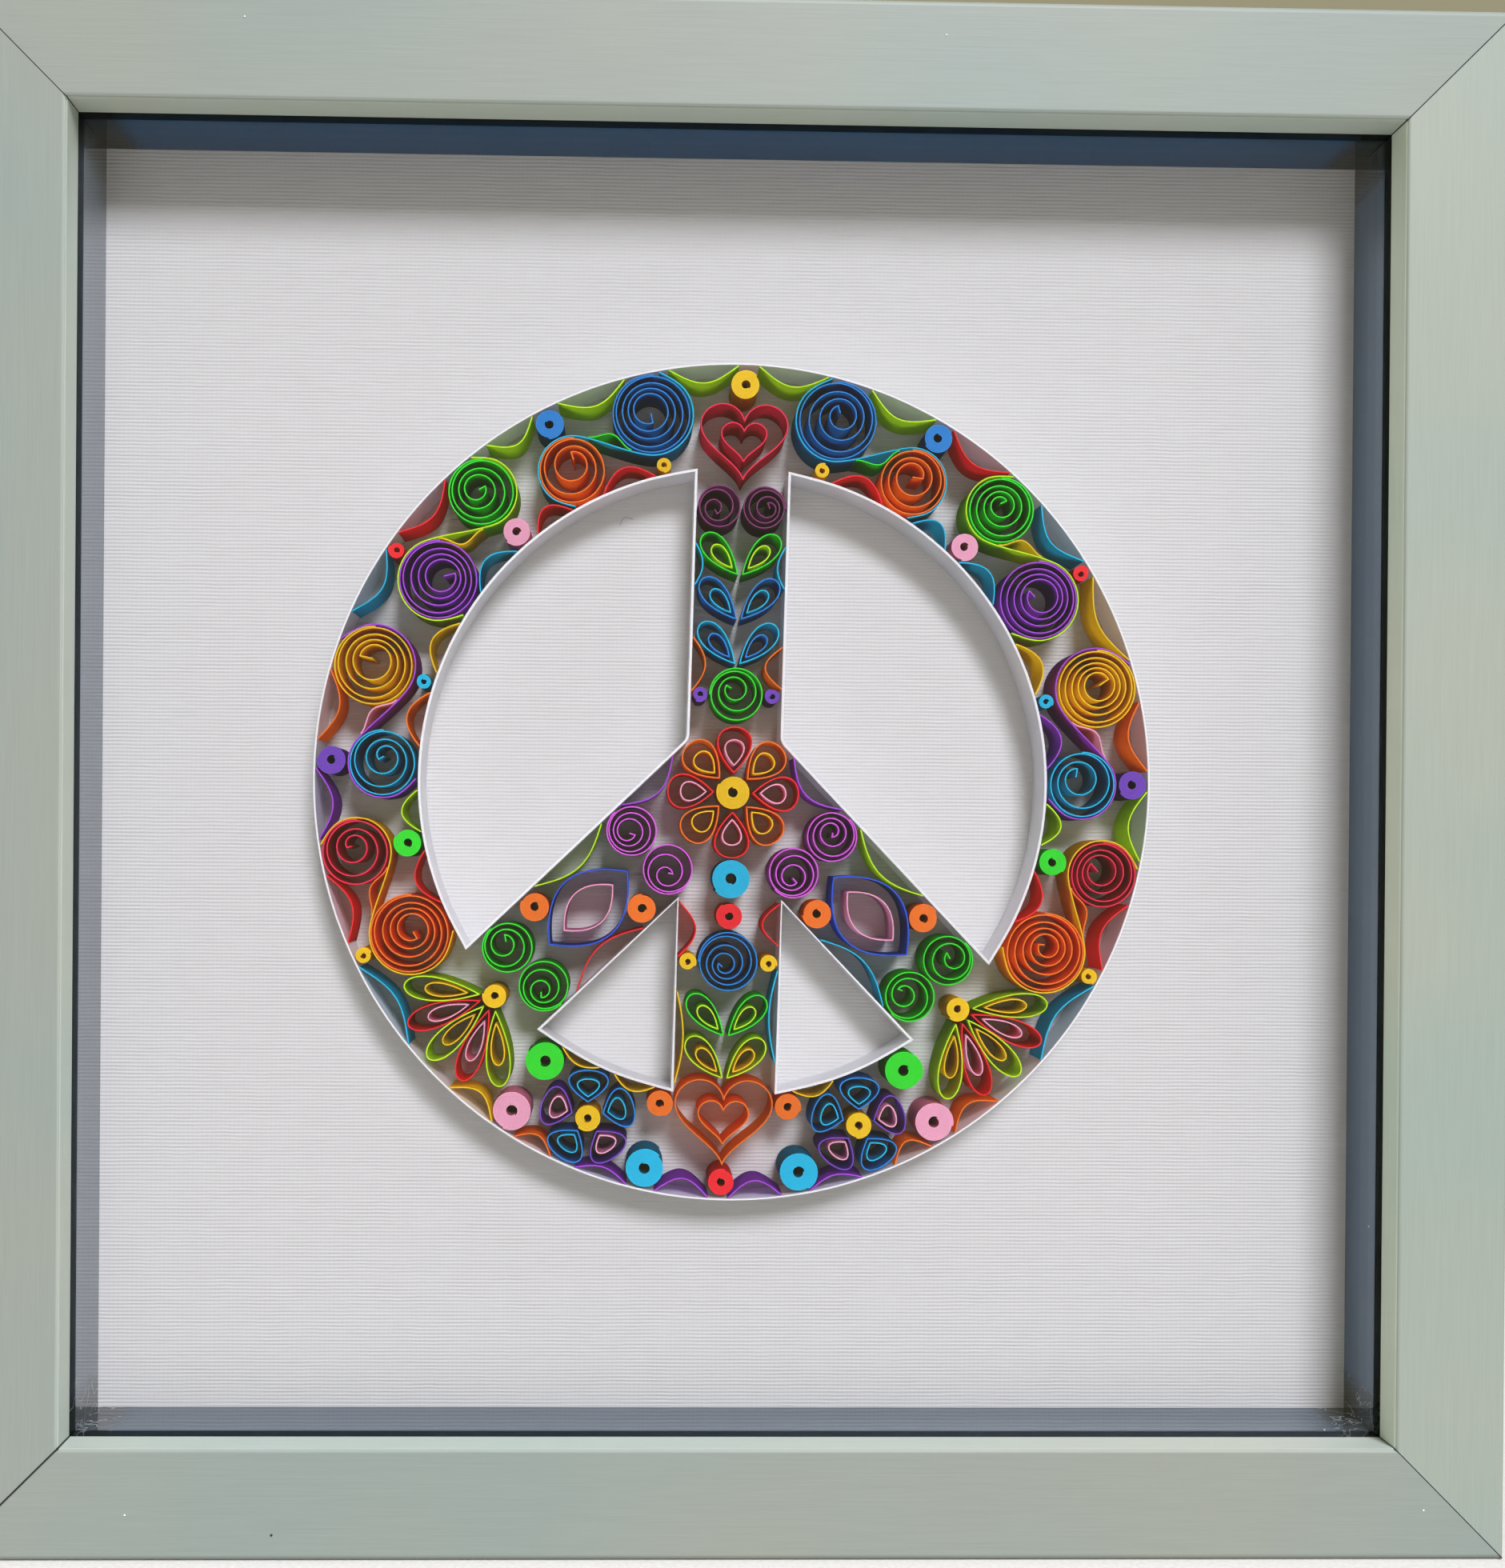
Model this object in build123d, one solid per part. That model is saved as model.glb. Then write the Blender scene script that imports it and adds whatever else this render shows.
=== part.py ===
"""Framed quilled paper art: a square shadow box with a paper figure on a linen card.

The frame stands upright on its lower edge. Its front faces -Y, +X is to the right
and +Z is up. The origin is the middle of the underside.
"""
from build123d import *
from functools import partial
import math
import os

# Frame, in millimetres
outer_side = 290.0            # outside width and height
rail_face = 20.75             # width of a rail seen from the front
lip_depth = 7.0               # thickness of the lip in front of the glass
glass_overlap = 3.0           # how far the lip covers the pane's edge
outer_edge_round = 1.2        # rounding of the rail's outer front edge
inner_edge_round = 0.8        # rounding of the rail's edge beside the glass
mitre_gap = 0.1               # open line between two rails at a corner
pane_fit = 0.25               # play of the glass, card and board inside the rebate
glass_thickness = 2.0
glass_clearance = 4.0         # room between the paper strips and the glass
card_thickness = 1.5
board_thickness = 3.0
board_setback = 4.5           # back of the board to the back of the rails
spacer_inset = 0.5            # how far the spacers stand inside the sight edge

# Fastenings at the back
tab_width = 12.0
tab_thickness = 0.5
tab_grip = 4.0                # length of a tab pressed into the rail
tab_reach = 7.0               # length of a tab that lies over the board
tab_pitch = 110.0             # distance between the two tabs of one rail
vnail_leg = 7.0
vnail_depth = 6.0
vnail_thickness = 0.6
vnail_inset = 10.0            # outer corner of the frame to the nail, along both rails
hanger_length = 44.0
hanger_height = 9.0
hanger_thickness = 0.8
hanger_rise = 1.6             # how far the toothed middle stands off the rail
hanger_ear = 8.0              # length of the flat ear at each end
tooth_count = 9
tooth_depth = 1.2
nail_radius = 0.7
nail_facets = 6
nail_length = 10.0
nail_head_radius = 2.2
nail_head_height = 0.8

# Paper figure: widths are measured between the middles of the outline strips
ring_radius = 80.5
band_width = 20.0             # ring to the window arcs
bar_width = 18.0              # upright bar above the centre
lower_bar_width = 20.0        # upright bar below the centre
arm_width = 21.0
arm_angle = 45.0              # slope of the arms below the horizontal
arm_lift = 2.15               # height at which the arms' middle lines meet
figure_turn = 1.3             # the figure is glued on slightly clockwise
window_corner_round = 3.0
strip_height = 10.0           # width of the quilling paper, standing on the card
strip_thickness = 0.35
outline_thickness = 0.5
ring_facets = 60
corner_facets = 3             # facets of a window's rounded corner
paper_gap = 0.2               # room between quilled pieces

# Quilled pieces
scroll_count = 4              # scrolls down each side of the ring
vine_clearance = 0.4          # first scroll to the bar's rows
vine_spread = 3.0             # extra room between one scroll and the next
coil_pitch = 1.25             # room from one turn of a loose coil to the next
coil_turns = 2.1
coil_facets = 9               # facets of a loose coil's first turn
small_coil_facets = 7         # the same for a coil that shares a row
scroll_facets = 12            # facets of a whole turn of a scroll
tight_facets = 7
petal_facets = 7
heart_facets = 12
inner_heart_facets = 8
smallest_filler = 1.4
largest_filler = 3.8
flower_petals = 8
daisy_radius = 12.6
daisy_heart = 3.3
daisy_drop = 2.0              # centre of the daisy below the centre of the ring
arm_start = 3.5               # daisy to the first row of an arm
blossom_petals = 5
blossom_heart = 2.6
blossom_clearance = 0.6       # blossom to the ring and to the window arc
leaf_length = 10.0
leaf_width = 4.6
leaf_angle = 42.0             # degrees between a leaf and the lane's direction
leaf_root = 0.5               # tip of a leaf to the middle of the lane
fan_heart = 2.4
fan_step = 25.0               # degrees between the petals of a fan
fan_clearance = 1.2           # tip of the middle petal to the ring

# Proportions of the quilled pieces
small_coil_share = 0.84       # small coil of a scroll beside its large one
tight_hole_share = 0.24       # hole of a tight coil beside its radius
flanked_share = 0.6           # flanked coil beside half of its lane
top_dot_share = 0.33          # tight coil at the top of the upper bar, beside half of the lane
foot_dot_share = 0.27         # tight coils at both ends of the lower bar
heart_share = 0.86            # a heart's length beside its width
inner_heart_share = 0.52      # inner heart beside the outer one
inner_heart_lift = 0.24       # its point above the outer one's, beside the outer length
eye_share = 0.65              # an eye's width beside its length
inner_eye_long_share = 0.62   # inner eye beside the outer one, along it and across
inner_eye_wide_share = 0.56
eye_dot_share = 0.28          # an eye's tight coils beside half of the lane
eye_dot_place = 0.36          # their place along the eye, beside its length
heart_waves = (13, -5, -2, -1)              # cosine weights of a heart's height
petal_fullest = 4 / (3 * math.sqrt(3))      # largest value of sin(t) sin(t / 2)

# Places worked out from the sizes above
half_side = outer_side / 2
glazed_depth = lip_depth + glass_thickness
card_setback = glazed_depth + glass_clearance + strip_height
frame_depth = card_setback + card_thickness + board_thickness + board_setback
total_depth = frame_depth + hanger_rise + hanger_thickness
front_y = -total_depth / 2
back_y = front_y + frame_depth
glass_y = front_y + lip_depth
card_y = front_y + card_setback
board_y = card_y + card_thickness
tabs_y = board_y + board_thickness
rebate_wall = rail_face - glass_overlap
pane_side = outer_side - 2 * (rebate_wall + pane_fit)
window_radius = ring_radius - band_width
ring_wall = ring_radius - strip_thickness / 2
arc_wall = window_radius + outline_thickness / 2
band_middle = (ring_wall + arc_wall) / 2
bar_half = bar_width / 2
lower_bar_half = lower_bar_width / 2
arm_half = arm_width / 2
figure_plane = Plane(
    origin=(0, card_y, half_side),
    x_dir=(math.cos(math.radians(figure_turn)), 0, -math.sin(math.radians(figure_turn))),
    z_dir=(0, -1, 0),
)
parts = {}
taken_paths = []              # paths of the strips placed so far
taken_dots = []               # centre and radius of the tight coils placed so far
free_spots = []               # wall, bearing and colour of the tight coils placed last


def save(node, solids):
    """Keep the solids of one node for the export."""
    parts.setdefault(node, []).extend(solids)


def polar(radius, bearing):
    """Point at a radius and a bearing in degrees, clockwise from the top."""
    angle = math.radians(bearing)
    return (radius * math.sin(angle), radius * math.cos(angle))


def along(start, direction, distance):
    """Point at a distance from start in a unit direction."""
    return (start[0] + direction[0] * distance, start[1] + direction[1] * distance)


def apart(first, second):
    """Distance between two points."""
    return math.hypot(first[0] - second[0], first[1] - second[1])


def heading(first, second):
    """Unit direction from the first point to the second."""
    length = apart(first, second)
    return ((second[0] - first[0]) / length, (second[1] - first[1]) / length)


def upright_box(x_range, y_range, z_range):
    """Box between pairs of limits on the three axes."""
    size = [high - low for low, high in (x_range, y_range, z_range)]
    middle = [(high + low) / 2 for low, high in (x_range, y_range, z_range)]
    return Pos(*middle) * Box(*size)


# Frame rails


def rail_section():
    """Section of a rail: outer side, face, lip, and the rebate behind the lip."""
    outline = Polyline(
        (front_y, 0),
        (front_y, rail_face),
        (glass_y, rail_face),
        (glass_y, rebate_wall),
        (back_y, rebate_wall),
        (back_y, 0),
        close=True,
    )
    section = make_face(outline)
    front = section.vertices().filter_by_position(Axis.X, front_y, front_y)
    section = fillet(front.sort_by(Axis.Y)[0], outer_edge_round)
    front = section.vertices().filter_by_position(Axis.Y, rail_face, rail_face)
    return fillet(front.sort_by(Axis.X)[0], inner_edge_round)


def mitred_rail():
    """Lower rail: the section run along the frame and cut at 45 degrees at both ends."""
    bar = extrude(Plane.YZ * rail_section(), half_side, both=True)
    reach = half_side - mitre_gap / math.sqrt(2)
    mitre = Plane.XZ * make_face(
        Polyline((-reach, 0), (reach, 0), (0, reach), close=True)
    )
    return bar & extrude(mitre, total_depth, both=True)


def tab_slot(offset):
    """Steel tab, half in the rail and half over the board."""
    rail_side = rebate_wall - tab_grip
    return upright_box(
        (offset - tab_width / 2, offset + tab_width / 2),
        (tabs_y, tabs_y + tab_thickness),
        (rail_side, rebate_wall + tab_reach),
    )


def corner_vnail():
    """Bent steel nail pressed into the back of the mitre at the lower left corner."""
    across = vnail_thickness * math.sqrt(2)
    corner = make_face(
        Polyline(
            (0, 0),
            (vnail_leg, 0),
            (vnail_leg, vnail_thickness),
            (across, vnail_thickness),
            (vnail_thickness, across),
            (vnail_thickness, vnail_leg),
            (0, vnail_leg),
            close=True,
        )
    )
    place = Plane(
        origin=(-half_side + vnail_inset, back_y, vnail_inset), x_dir=(1, 0, 0), z_dir=(0, -1, 0)
    )
    return extrude(place * corner, vnail_depth)


def around_frame(solid, quarter):
    """The solid turned by quarters about the frame's middle axis."""
    turned = Pos(0, 0, -half_side) * solid
    return Pos(0, 0, half_side) * Rot(0, 90 * quarter, 0) * turned


def ribbon(points, thickness, closed=False):
    """Face of a strip of paper seen on edge: the path widened by half a thickness each way."""
    count = len(points)
    left = []
    right = []
    for index, point in enumerate(points):
        before = points[index - 1] if index or closed else None
        after = points[(index + 1) % count] if index < count - 1 or closed else None
        into = heading(before, point) if before else heading(point, after)
        away = heading(point, after) if after else into
        spread = 1 + into[0] * away[0] + into[1] * away[1]
        normal = (-(into[1] + away[1]) / spread, (into[0] + away[0]) / spread)
        left.append(along(point, normal, thickness / 2))
        right.append(along(point, normal, -thickness / 2))
    if closed:
        return Face(Wire.make_polygon(right), [Wire.make_polygon(left)])
    return Face(Wire.make_polygon(left + right[::-1]))


def build_rails():
    """Four rails with the slots that the tabs, corner nails and hanger nails sit in."""
    tabs = [tab_slot(offset) for offset in (-tab_pitch / 2, tab_pitch / 2)]
    rail = mitred_rail() - tabs - [corner_vnail(), around_frame(corner_vnail(), -1)]
    for quarter, side in enumerate(("bottom", "left", "top", "right")):
        placed = around_frame(rail, quarter)
        if side == "top":
            placed = placed - hanger_nails()
        save(f"{side}_rail", [placed])
        save("retaining_tabs", [around_frame(tab, quarter) for tab in tabs])
        save("corner_nails", [around_frame(corner_vnail(), quarter)])


def hanger_nails():
    """Two round nails that hold the hanger's ears on the top rail."""
    nails = []
    for side in (-1, 1):
        place = Pos(side * (hanger_length - hanger_ear) / 2, 0, outer_side - rebate_wall / 2)
        shank_start = back_y - nail_length
        head_start = back_y + hanger_thickness
        shank = RegularPolygon(nail_radius, nail_facets)
        shank = Plane(origin=(0, shank_start, 0), z_dir=(0, 1, 0)) * shank
        head = RegularPolygon(nail_head_radius, 2 * nail_facets)
        head = Plane(origin=(0, head_start, 0), z_dir=(0, 1, 0)) * head
        nail = extrude(shank, head_start - shank_start) + extrude(head, nail_head_height)
        nails.append(place * nail)
    return nails


def build_hanger():
    """Sawtooth hanger: flat ears, raised middle, teeth cut along its lower edge."""
    flat = back_y + hanger_thickness / 2
    ear_end = hanger_length / 2 - hanger_ear
    raised_end = ear_end - hanger_rise
    path = [
        (-hanger_length / 2, flat),
        (-ear_end, flat),
        (-raised_end, flat + hanger_rise),
        (raised_end, flat + hanger_rise),
        (ear_end, flat),
        (hanger_length / 2, flat),
    ]
    low = outer_side - rebate_wall / 2 - hanger_height / 2
    hanger = extrude(Pos(0, 0, low) * ribbon(path, hanger_thickness), hanger_height)
    pitch = 2 * raised_end / (tooth_count + 1)
    half_tooth = tooth_depth / 2
    tooth = make_face(Polyline((-half_tooth, 0), (half_tooth, 0), (0, tooth_depth), close=True))
    for number in range(tooth_count):
        place = (pitch * (number - (tooth_count - 1) / 2), 0, low)
        notch = extrude(Plane(origin=place, x_dir=(1, 0, 0), z_dir=(0, -1, 0)) * tooth,
                        total_depth, both=True)
        hanger = hanger - notch
    save("sawtooth_hanger", [hanger - hanger_nails()])
    save("hanger_nails", hanger_nails())


def build_stack():
    """Glass, spacers, linen card and backing board, one behind the other in the rebate."""
    across = (-pane_side / 2, pane_side / 2)
    upright = (half_side - pane_side / 2, half_side + pane_side / 2)
    glass_back = glass_y + glass_thickness
    save("glass_pane", [upright_box(across, (glass_y, glass_back), upright)])
    save("linen_card", [upright_box(across, (card_y, board_y), upright)])
    save("backing_board", [upright_box(across, (board_y, tabs_y), upright)])
    spacer_face = half_side - rail_face - spacer_inset
    spacer_back = pane_side / 2
    depth = (glass_back, card_y)
    for name, side in (("left", -1), ("right", 1)):
        wall = sorted((side * spacer_face, side * spacer_back))
        between = (half_side - spacer_face, half_side + spacer_face)
        save(f"spacer_{name}", [upright_box(wall, depth, between)])
    for name, side in (("bottom", -1), ("top", 1)):
        wall = sorted((half_side + side * spacer_face, half_side + side * spacer_back))
        save(f"spacer_{name}", [upright_box(across, depth, wall)])


# Outline of the figure


def stand(faces, height=strip_height):
    """Solids of paper strips standing on edge on the card."""
    return [extrude(figure_plane * face, height, dir=(0, -1, 0)) for face in faces]


def meet_arc(start, direction, radius):
    """Point where a line from start meets a circle about the figure's centre."""
    reach = start[0] * direction[0] + start[1] * direction[1]
    behind = start[0] ** 2 + start[1] ** 2 - radius ** 2
    return along(start, direction, math.sqrt(reach ** 2 - behind) - reach)


def arm_direction(side):
    """Unit direction of an arm, from the centre down to the ring."""
    angle = math.radians(arm_angle)
    return (side * math.cos(angle), -math.sin(angle))


def arc_path(radius, first, last):
    """Points of an arc about the figure's centre, from one point's bearing to another's."""
    start, end = (math.degrees(math.atan2(*point)) for point in (first, last))
    steps = max(1, round(abs(end - start) * ring_facets / 360))
    return [polar(radius, start + (end - start) * step / steps) for step in range(steps + 1)]


def rounded_corner(before, corner, after, radius):
    """Points of a bend that takes a corner's place, tangent to both of its sides."""
    back = heading(corner, before)
    on = heading(corner, after)
    half_angle = math.acos(back[0] * on[0] + back[1] * on[1]) / 2
    centre = along(corner, heading((0, 0), (back[0] + on[0], back[1] + on[1])),
                   radius / math.sin(half_angle))
    first = along(corner, back, radius / math.tan(half_angle))
    begin = math.atan2(first[1] - centre[1], first[0] - centre[0])
    turn = math.pi - 2 * half_angle
    angles = [begin + turn * step / corner_facets for step in range(corner_facets + 1)]
    return [(centre[0] + radius * math.cos(a), centre[1] + radius * math.sin(a)) for a in angles]


def window_path(upper):
    """Closed path of the right window between the bar, an arm and the window arc."""
    direction = arm_direction(1)
    edge_lift = (arm_half if upper else -arm_half) / math.cos(math.radians(arm_angle))
    bar_x = bar_half if upper else lower_bar_half
    corner = (bar_x, arm_lift + edge_lift + bar_x * direction[1] / direction[0])
    bar_end = meet_arc(corner, (0, 1 if upper else -1), window_radius)
    arm_end = meet_arc(corner, direction, window_radius)
    if upper:
        bend = rounded_corner(bar_end, corner, arm_end, window_corner_round)
        return bend + arc_path(window_radius, arm_end, bar_end)
    return [corner] + arc_path(window_radius, bar_end, arm_end)


def build_outline():
    """Ring strip and the four window strips."""
    ring = [polar(ring_radius, -360 * step / ring_facets) for step in range(ring_facets)]
    save("ring_strip", stand([ribbon(ring, strip_thickness, True)]))
    for name, upper in (("upper", True), ("lower", False)):
        path = window_path(upper)
        mirrored = [(-x, y) for x, y in reversed(path)]
        for side, shape in (("left", mirrored), ("right", path)):
            save(f"{name}_window_{side}", stand([ribbon(shape, outline_thickness, True)]))


# Forms of the quilled pieces, each at the origin


def loose_coil(radius, facets=coil_facets):
    """Path of a loose coil: a closing turn that lies on the next one, then wider turns."""
    outer = radius - strip_thickness / 2
    chord = 2 * outer * math.sin(math.pi / facets)
    closing = strip_thickness + paper_gap / 2
    turns = [step / facets for step in range(facets + 1)]
    while turns[-1] < coil_turns:
        here = outer - closing - coil_pitch * (turns[-1] - 1)
        turns.append(turns[-1] + chord / (2 * math.pi * here))
    path = []
    for turn in turns:
        here = outer - closing * min(turn, 1) - coil_pitch * max(turn - 1, 0)
        path.append((here * math.sin(2 * math.pi * turn), here * math.cos(2 * math.pi * turn)))
    return path


def petal(length, width, facets=petal_facets):
    """Closed path of a teardrop with its point at the origin and its round end at length."""
    steps = [2 * math.pi * step / facets for step in range(facets)]
    return [
        (length * (1 - math.cos(t)) / 2,
         width / 2 * math.sin(t) * math.sin(t / 2) / petal_fullest)
        for t in steps
    ]


def marquise(length, width, facets=8):
    """Closed path of an eye shape, pointed at both ends, middle at the origin."""
    steps = [2 * math.pi * step / facets for step in range(facets)]
    return [
        (-length / 2 * math.cos(t), width / 2 * math.sin(t) * abs(math.sin(t))) for t in steps
    ]


def heart(length, width, facets=heart_facets):
    """Closed path of a heart, its point at the origin and its lobes at length."""
    turns = [2 * math.pi * step / facets + math.pi for step in range(facets)]
    heights = [
        sum(weight * math.cos(number * t) for number, weight in enumerate(heart_waves, 1))
        for t in turns
    ]
    foot = heights[0]
    tall = max(heights) - foot
    return [
        (length * (height - foot) / tall, width / 2 * math.sin(t) ** 3)
        for t, height in zip(turns, heights)
    ]


# Placing the quilled pieces


def placed(path, centre, direction):
    """Path moved to a centre, with its x axis along a unit direction."""
    across = (-direction[1], direction[0])
    return [along(along(centre, direction, x), across, y) for x, y in path]


def quill(node, path, closed=True, sides=(1, -1)):
    """Stand a strip on the card, with its mirror image unless only one side is asked for."""
    taken_paths.append(path + path[:1] if closed else path)
    for side in sides:
        shape = path if side > 0 else [(-x, y) for x, y in reversed(path)]
        save(node, stand([ribbon(shape, strip_thickness, closed)]))


def tight_coil(node, centre, radius, sides=(1, -1)):
    """Stand a tight coil on the card: a solid winding with the hole left by the needle."""
    taken_dots.append((centre, radius))
    outer = [polar(radius, -360 * step / tight_facets) for step in range(tight_facets)]
    inner = [(tight_hole_share * x, tight_hole_share * y) for x, y in outer]
    for side in sides:
        middle = (side * centre[0], centre[1])
        hole = Wire.make_polygon(placed(inner, middle, (1, 0)))
        save(node, stand([Face(Wire.make_polygon(placed(outer, middle, (1, 0))), [hole])]))


def along_lane(length, half_width, rows):
    """Middle and pieces of each row of a lane, with the room left over shared between them.

    Where the lane is too short for rows of its full width, all of them are made smaller.
    """
    size = half_width
    built = [make_row(size) for make_row in rows]
    while sum(row[0] for row in built) + (len(rows) + 1) * paper_gap > length:
        size *= 0.99
        built = [make_row(size) for make_row in rows]
    spare = (length - sum(row[0] for row in built)) / (len(rows) + 1)
    position = spare
    result = []
    for row_length, pieces in built:
        result.append((position + row_length / 2, pieces))
        position += row_length + spare
    return result


def coil_pair(half_width, colour):
    """Two loose coils side by side."""
    radius = half_width / 2 - 0.75 * paper_gap
    middle = radius + paper_gap / 2
    coil = loose_coil(radius, small_coil_facets)
    return (2 * radius, [
        (f"loose_coils_{colour}", placed(coil, (0, middle), (1, 0)), False),
        (f"loose_coils_{colour}", [(x, -y) for x, y in placed(coil, (0, middle), (1, 0))], False),
    ])


def flanked_coil(half_width, colour, dot_colour):
    """One loose coil with a tight coil on each side."""
    radius = flanked_share * half_width
    dot = (half_width - radius - 2 * paper_gap) / 2
    side = radius + paper_gap + dot
    return (2 * radius, [
        (f"loose_coils_{colour}", loose_coil(radius, small_coil_facets), False),
        (f"tight_coils_{dot_colour}", (0, side), dot),
        (f"tight_coils_{dot_colour}", (0, -side), dot),
    ])


def heart_row(half_width, colour):
    """A heart across the lane with a smaller one inside it."""
    width = 2 * (half_width - paper_gap) - strip_thickness
    length = heart_share * width
    outer = placed(heart(length, width), (-length / 2, 0), (1, 0))
    inner = heart(inner_heart_share * length, inner_heart_share * width, inner_heart_facets)
    inner = placed(inner, ((inner_heart_lift - 1 / 2) * length, 0), (1, 0))
    return (length + strip_thickness, [
        (f"hearts_{colour}", outer, True),
        (f"hearts_{colour}", inner, True),
    ])


def leaf_pair(half_width, colour):
    """Two leaves that open forwards from the middle of the lane."""
    angle = math.radians(leaf_angle)
    direction = (math.cos(angle), math.sin(angle))
    length = min(leaf_length, (half_width - leaf_root) / math.sin(angle) - leaf_width / 2)
    width = leaf_width * length / leaf_length
    pitch = (width + strip_thickness + paper_gap) / math.sin(angle)
    leaf = placed(petal(length, width), (-pitch / 2, leaf_root), direction)
    other = [(x, -y) for x, y in reversed(leaf)]
    return (pitch, [(f"petals_{colour}", leaf, True), (f"petals_{colour}", other, True)])


def eye_row(half_width, colour, inner_colour, dot_colour):
    """Two nested marquises with tight coils beside two opposite ends."""
    length = 2 * half_width
    width = eye_share * length
    inner = marquise(inner_eye_long_share * length, inner_eye_wide_share * width)
    dot = eye_dot_share * half_width
    beside = (eye_dot_place * length, half_width - paper_gap - dot)
    pieces = [
        (f"marquises_{colour}", marquise(length, width), True),
        (f"marquises_{inner_colour}", inner, True),
    ]
    for end, side in ((1, 1), (-1, -1)):
        pieces.append((f"tight_coils_{dot_colour}", (end * beside[0], side * beside[1]), dot))
    return (length + strip_thickness, pieces)


def dot_row(half_width, share, colour):
    """One tight coil."""
    radius = share * half_width
    return (2 * radius, [(f"tight_coils_{colour}", (0, 0), radius)])


def fill_lane(start, direction, length, half_width, rows, sides=(1,)):
    """Stand the rows of a lane on the card, from start along a unit direction."""
    for position, pieces in along_lane(length, half_width, rows):
        middle = along(start, direction, position)
        for node, *form in pieces:
            if node.startswith("tight"):
                spot, radius = form
                tight_coil(node, placed([spot], middle, direction)[0], radius, sides)
            else:
                path, closed = form
                quill(node, placed(path, middle, direction), closed, sides)


def flower(centre, radius, heart_radius, bearings, step, colours, sides):
    """Petals about a tight coil at given bearings, a step apart, in turns of two colours."""
    tight_coil(f"tight_coils_{colours[2]}", centre, heart_radius, sides)
    inside = heart_radius + paper_gap + strip_thickness
    length = radius - inside
    widest = inside + length * 2 / 3
    half_step = math.sin(math.radians(step / 2))
    width = 2 * (widest * half_step - strip_thickness - paper_gap / 2)
    for number, bearing in enumerate(bearings):
        direction = polar(1, bearing)
        path = placed(petal(length, width), along(centre, direction, inside), direction)
        quill(f"petals_{colours[number % 2]}", path, True, sides)


# Scrolls and coils in the ring


def wall_point(wall, inset, bearing):
    """Point at a distance inside the ring (wall 1) or outside the window arc (wall -1)."""
    radius = ring_wall - inset if wall > 0 else arc_wall + inset
    return polar(radius, bearing)


def bearing_step(wall, first, second, distance):
    """Degrees between two coils against opposite walls whose centres are a distance apart."""
    start = ring_wall - paper_gap - first if wall > 0 else arc_wall + paper_gap + first
    end = ring_wall - paper_gap - second if wall < 0 else arc_wall + paper_gap + second
    cosine = (start ** 2 + end ** 2 - distance ** 2) / (2 * start * end)
    return math.degrees(math.acos(min(1.0, cosine)))


def vine(large):
    """Wall, radius and bearing of the coils of all scrolls, for one radius of the large ones."""
    belt = paper_gap + strip_thickness / 2
    beside_bar = bar_half + vine_clearance + large + 2 * belt
    bearing = math.degrees(math.asin(beside_bar / (ring_wall - paper_gap - large)))
    coils = [(1, large, bearing)]
    while len(coils) < 2 * scroll_count:
        number = len(coils)
        wall, before, bearing = coils[-1]
        radius = large if number % 4 in (0, 3) else small_coil_share * large
        reach = before + radius + 2 * belt + vine_spread
        if number % 2 == 0:
            reach += strip_thickness + paper_gap
        coils.append((-wall, radius, bearing + bearing_step(wall, before, radius, reach)))
    return coils


def scroll_coils():
    """The coils of all scrolls, as large as the room up to the fan allows.

    Across the ring's band, each leaves room for a tight coil against the opposite wall.
    """
    smallest = 0.0
    largest = (ring_wall - arc_wall) / 2 - smallest_filler - 2 * paper_gap - strip_thickness
    for _ in range(20):
        large = (smallest + largest) / 2
        wall, radius, bearing = vine(large)[-1]
        if bearing < vine_end(radius):
            smallest = large
        else:
            largest = large
    coils = vine(smallest)
    start = coils[0][2]
    stretch = (vine_end(coils[-1][1]) - start) / (coils[-1][2] - start)
    return [(wall, radius, start + (bearing - start) * stretch) for wall, radius, bearing in coils]


def turn_about(centre, radius, first, last):
    """Points of a strip bent about a centre from one angle to another, in radians.

    The facets lie half outside and half inside the true arc.
    """
    steps = max(2, round(abs(last - first) * scroll_facets / (2 * math.pi)))
    step = (last - first) / steps
    bent = radius * (1 + 1 / math.cos(step / 2)) / 2
    angles = [first + step * number for number in range(steps + 1)]
    return [(centre[0] + bent * math.cos(a), centre[1] + bent * math.sin(a)) for a in angles]


def scroll_path(first, second):
    """Open path of a scroll: round the back of one coil and over the front of the next."""
    start = wall_point(1, paper_gap + first[1], first[2])
    end = wall_point(-1, paper_gap + second[1], second[2])
    belt = paper_gap + strip_thickness / 2
    start_radius = first[1] + belt
    end_radius = second[1] + belt
    course = heading(start, end)
    course_angle = math.atan2(course[1], course[0])
    crossing = math.acos((start_radius + end_radius) / apart(start, end))
    outward = math.radians(90 - first[2])
    inward = math.radians(-90 - second[2])
    at_wall = math.acos((first[1] - strip_thickness / 2) / start_radius)
    at_arc = math.acos((second[1] - strip_thickness / 2) / end_radius)
    leave = course_angle - crossing
    arrive = course_angle + math.pi - crossing
    begin = outward + at_wall
    finish = inward + at_arc
    while leave < begin:
        leave += 2 * math.pi
    while arrive < finish:
        arrive += 2 * math.pi
    return (turn_about(start, start_radius, begin, leave)
            + turn_about(end, end_radius, arrive, finish))


def clear_of_path(point, path):
    """Distance from a point to the nearest place on a path."""
    nearest = math.inf
    for first, second in zip(path, path[1:]):
        length = apart(first, second)
        direction = heading(first, second)
        reach = (point[0] - first[0]) * direction[0] + (point[1] - first[1]) * direction[1]
        foot = along(first, direction, min(max(reach, 0), length))
        nearest = min(nearest, apart(point, foot))
    return nearest


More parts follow.
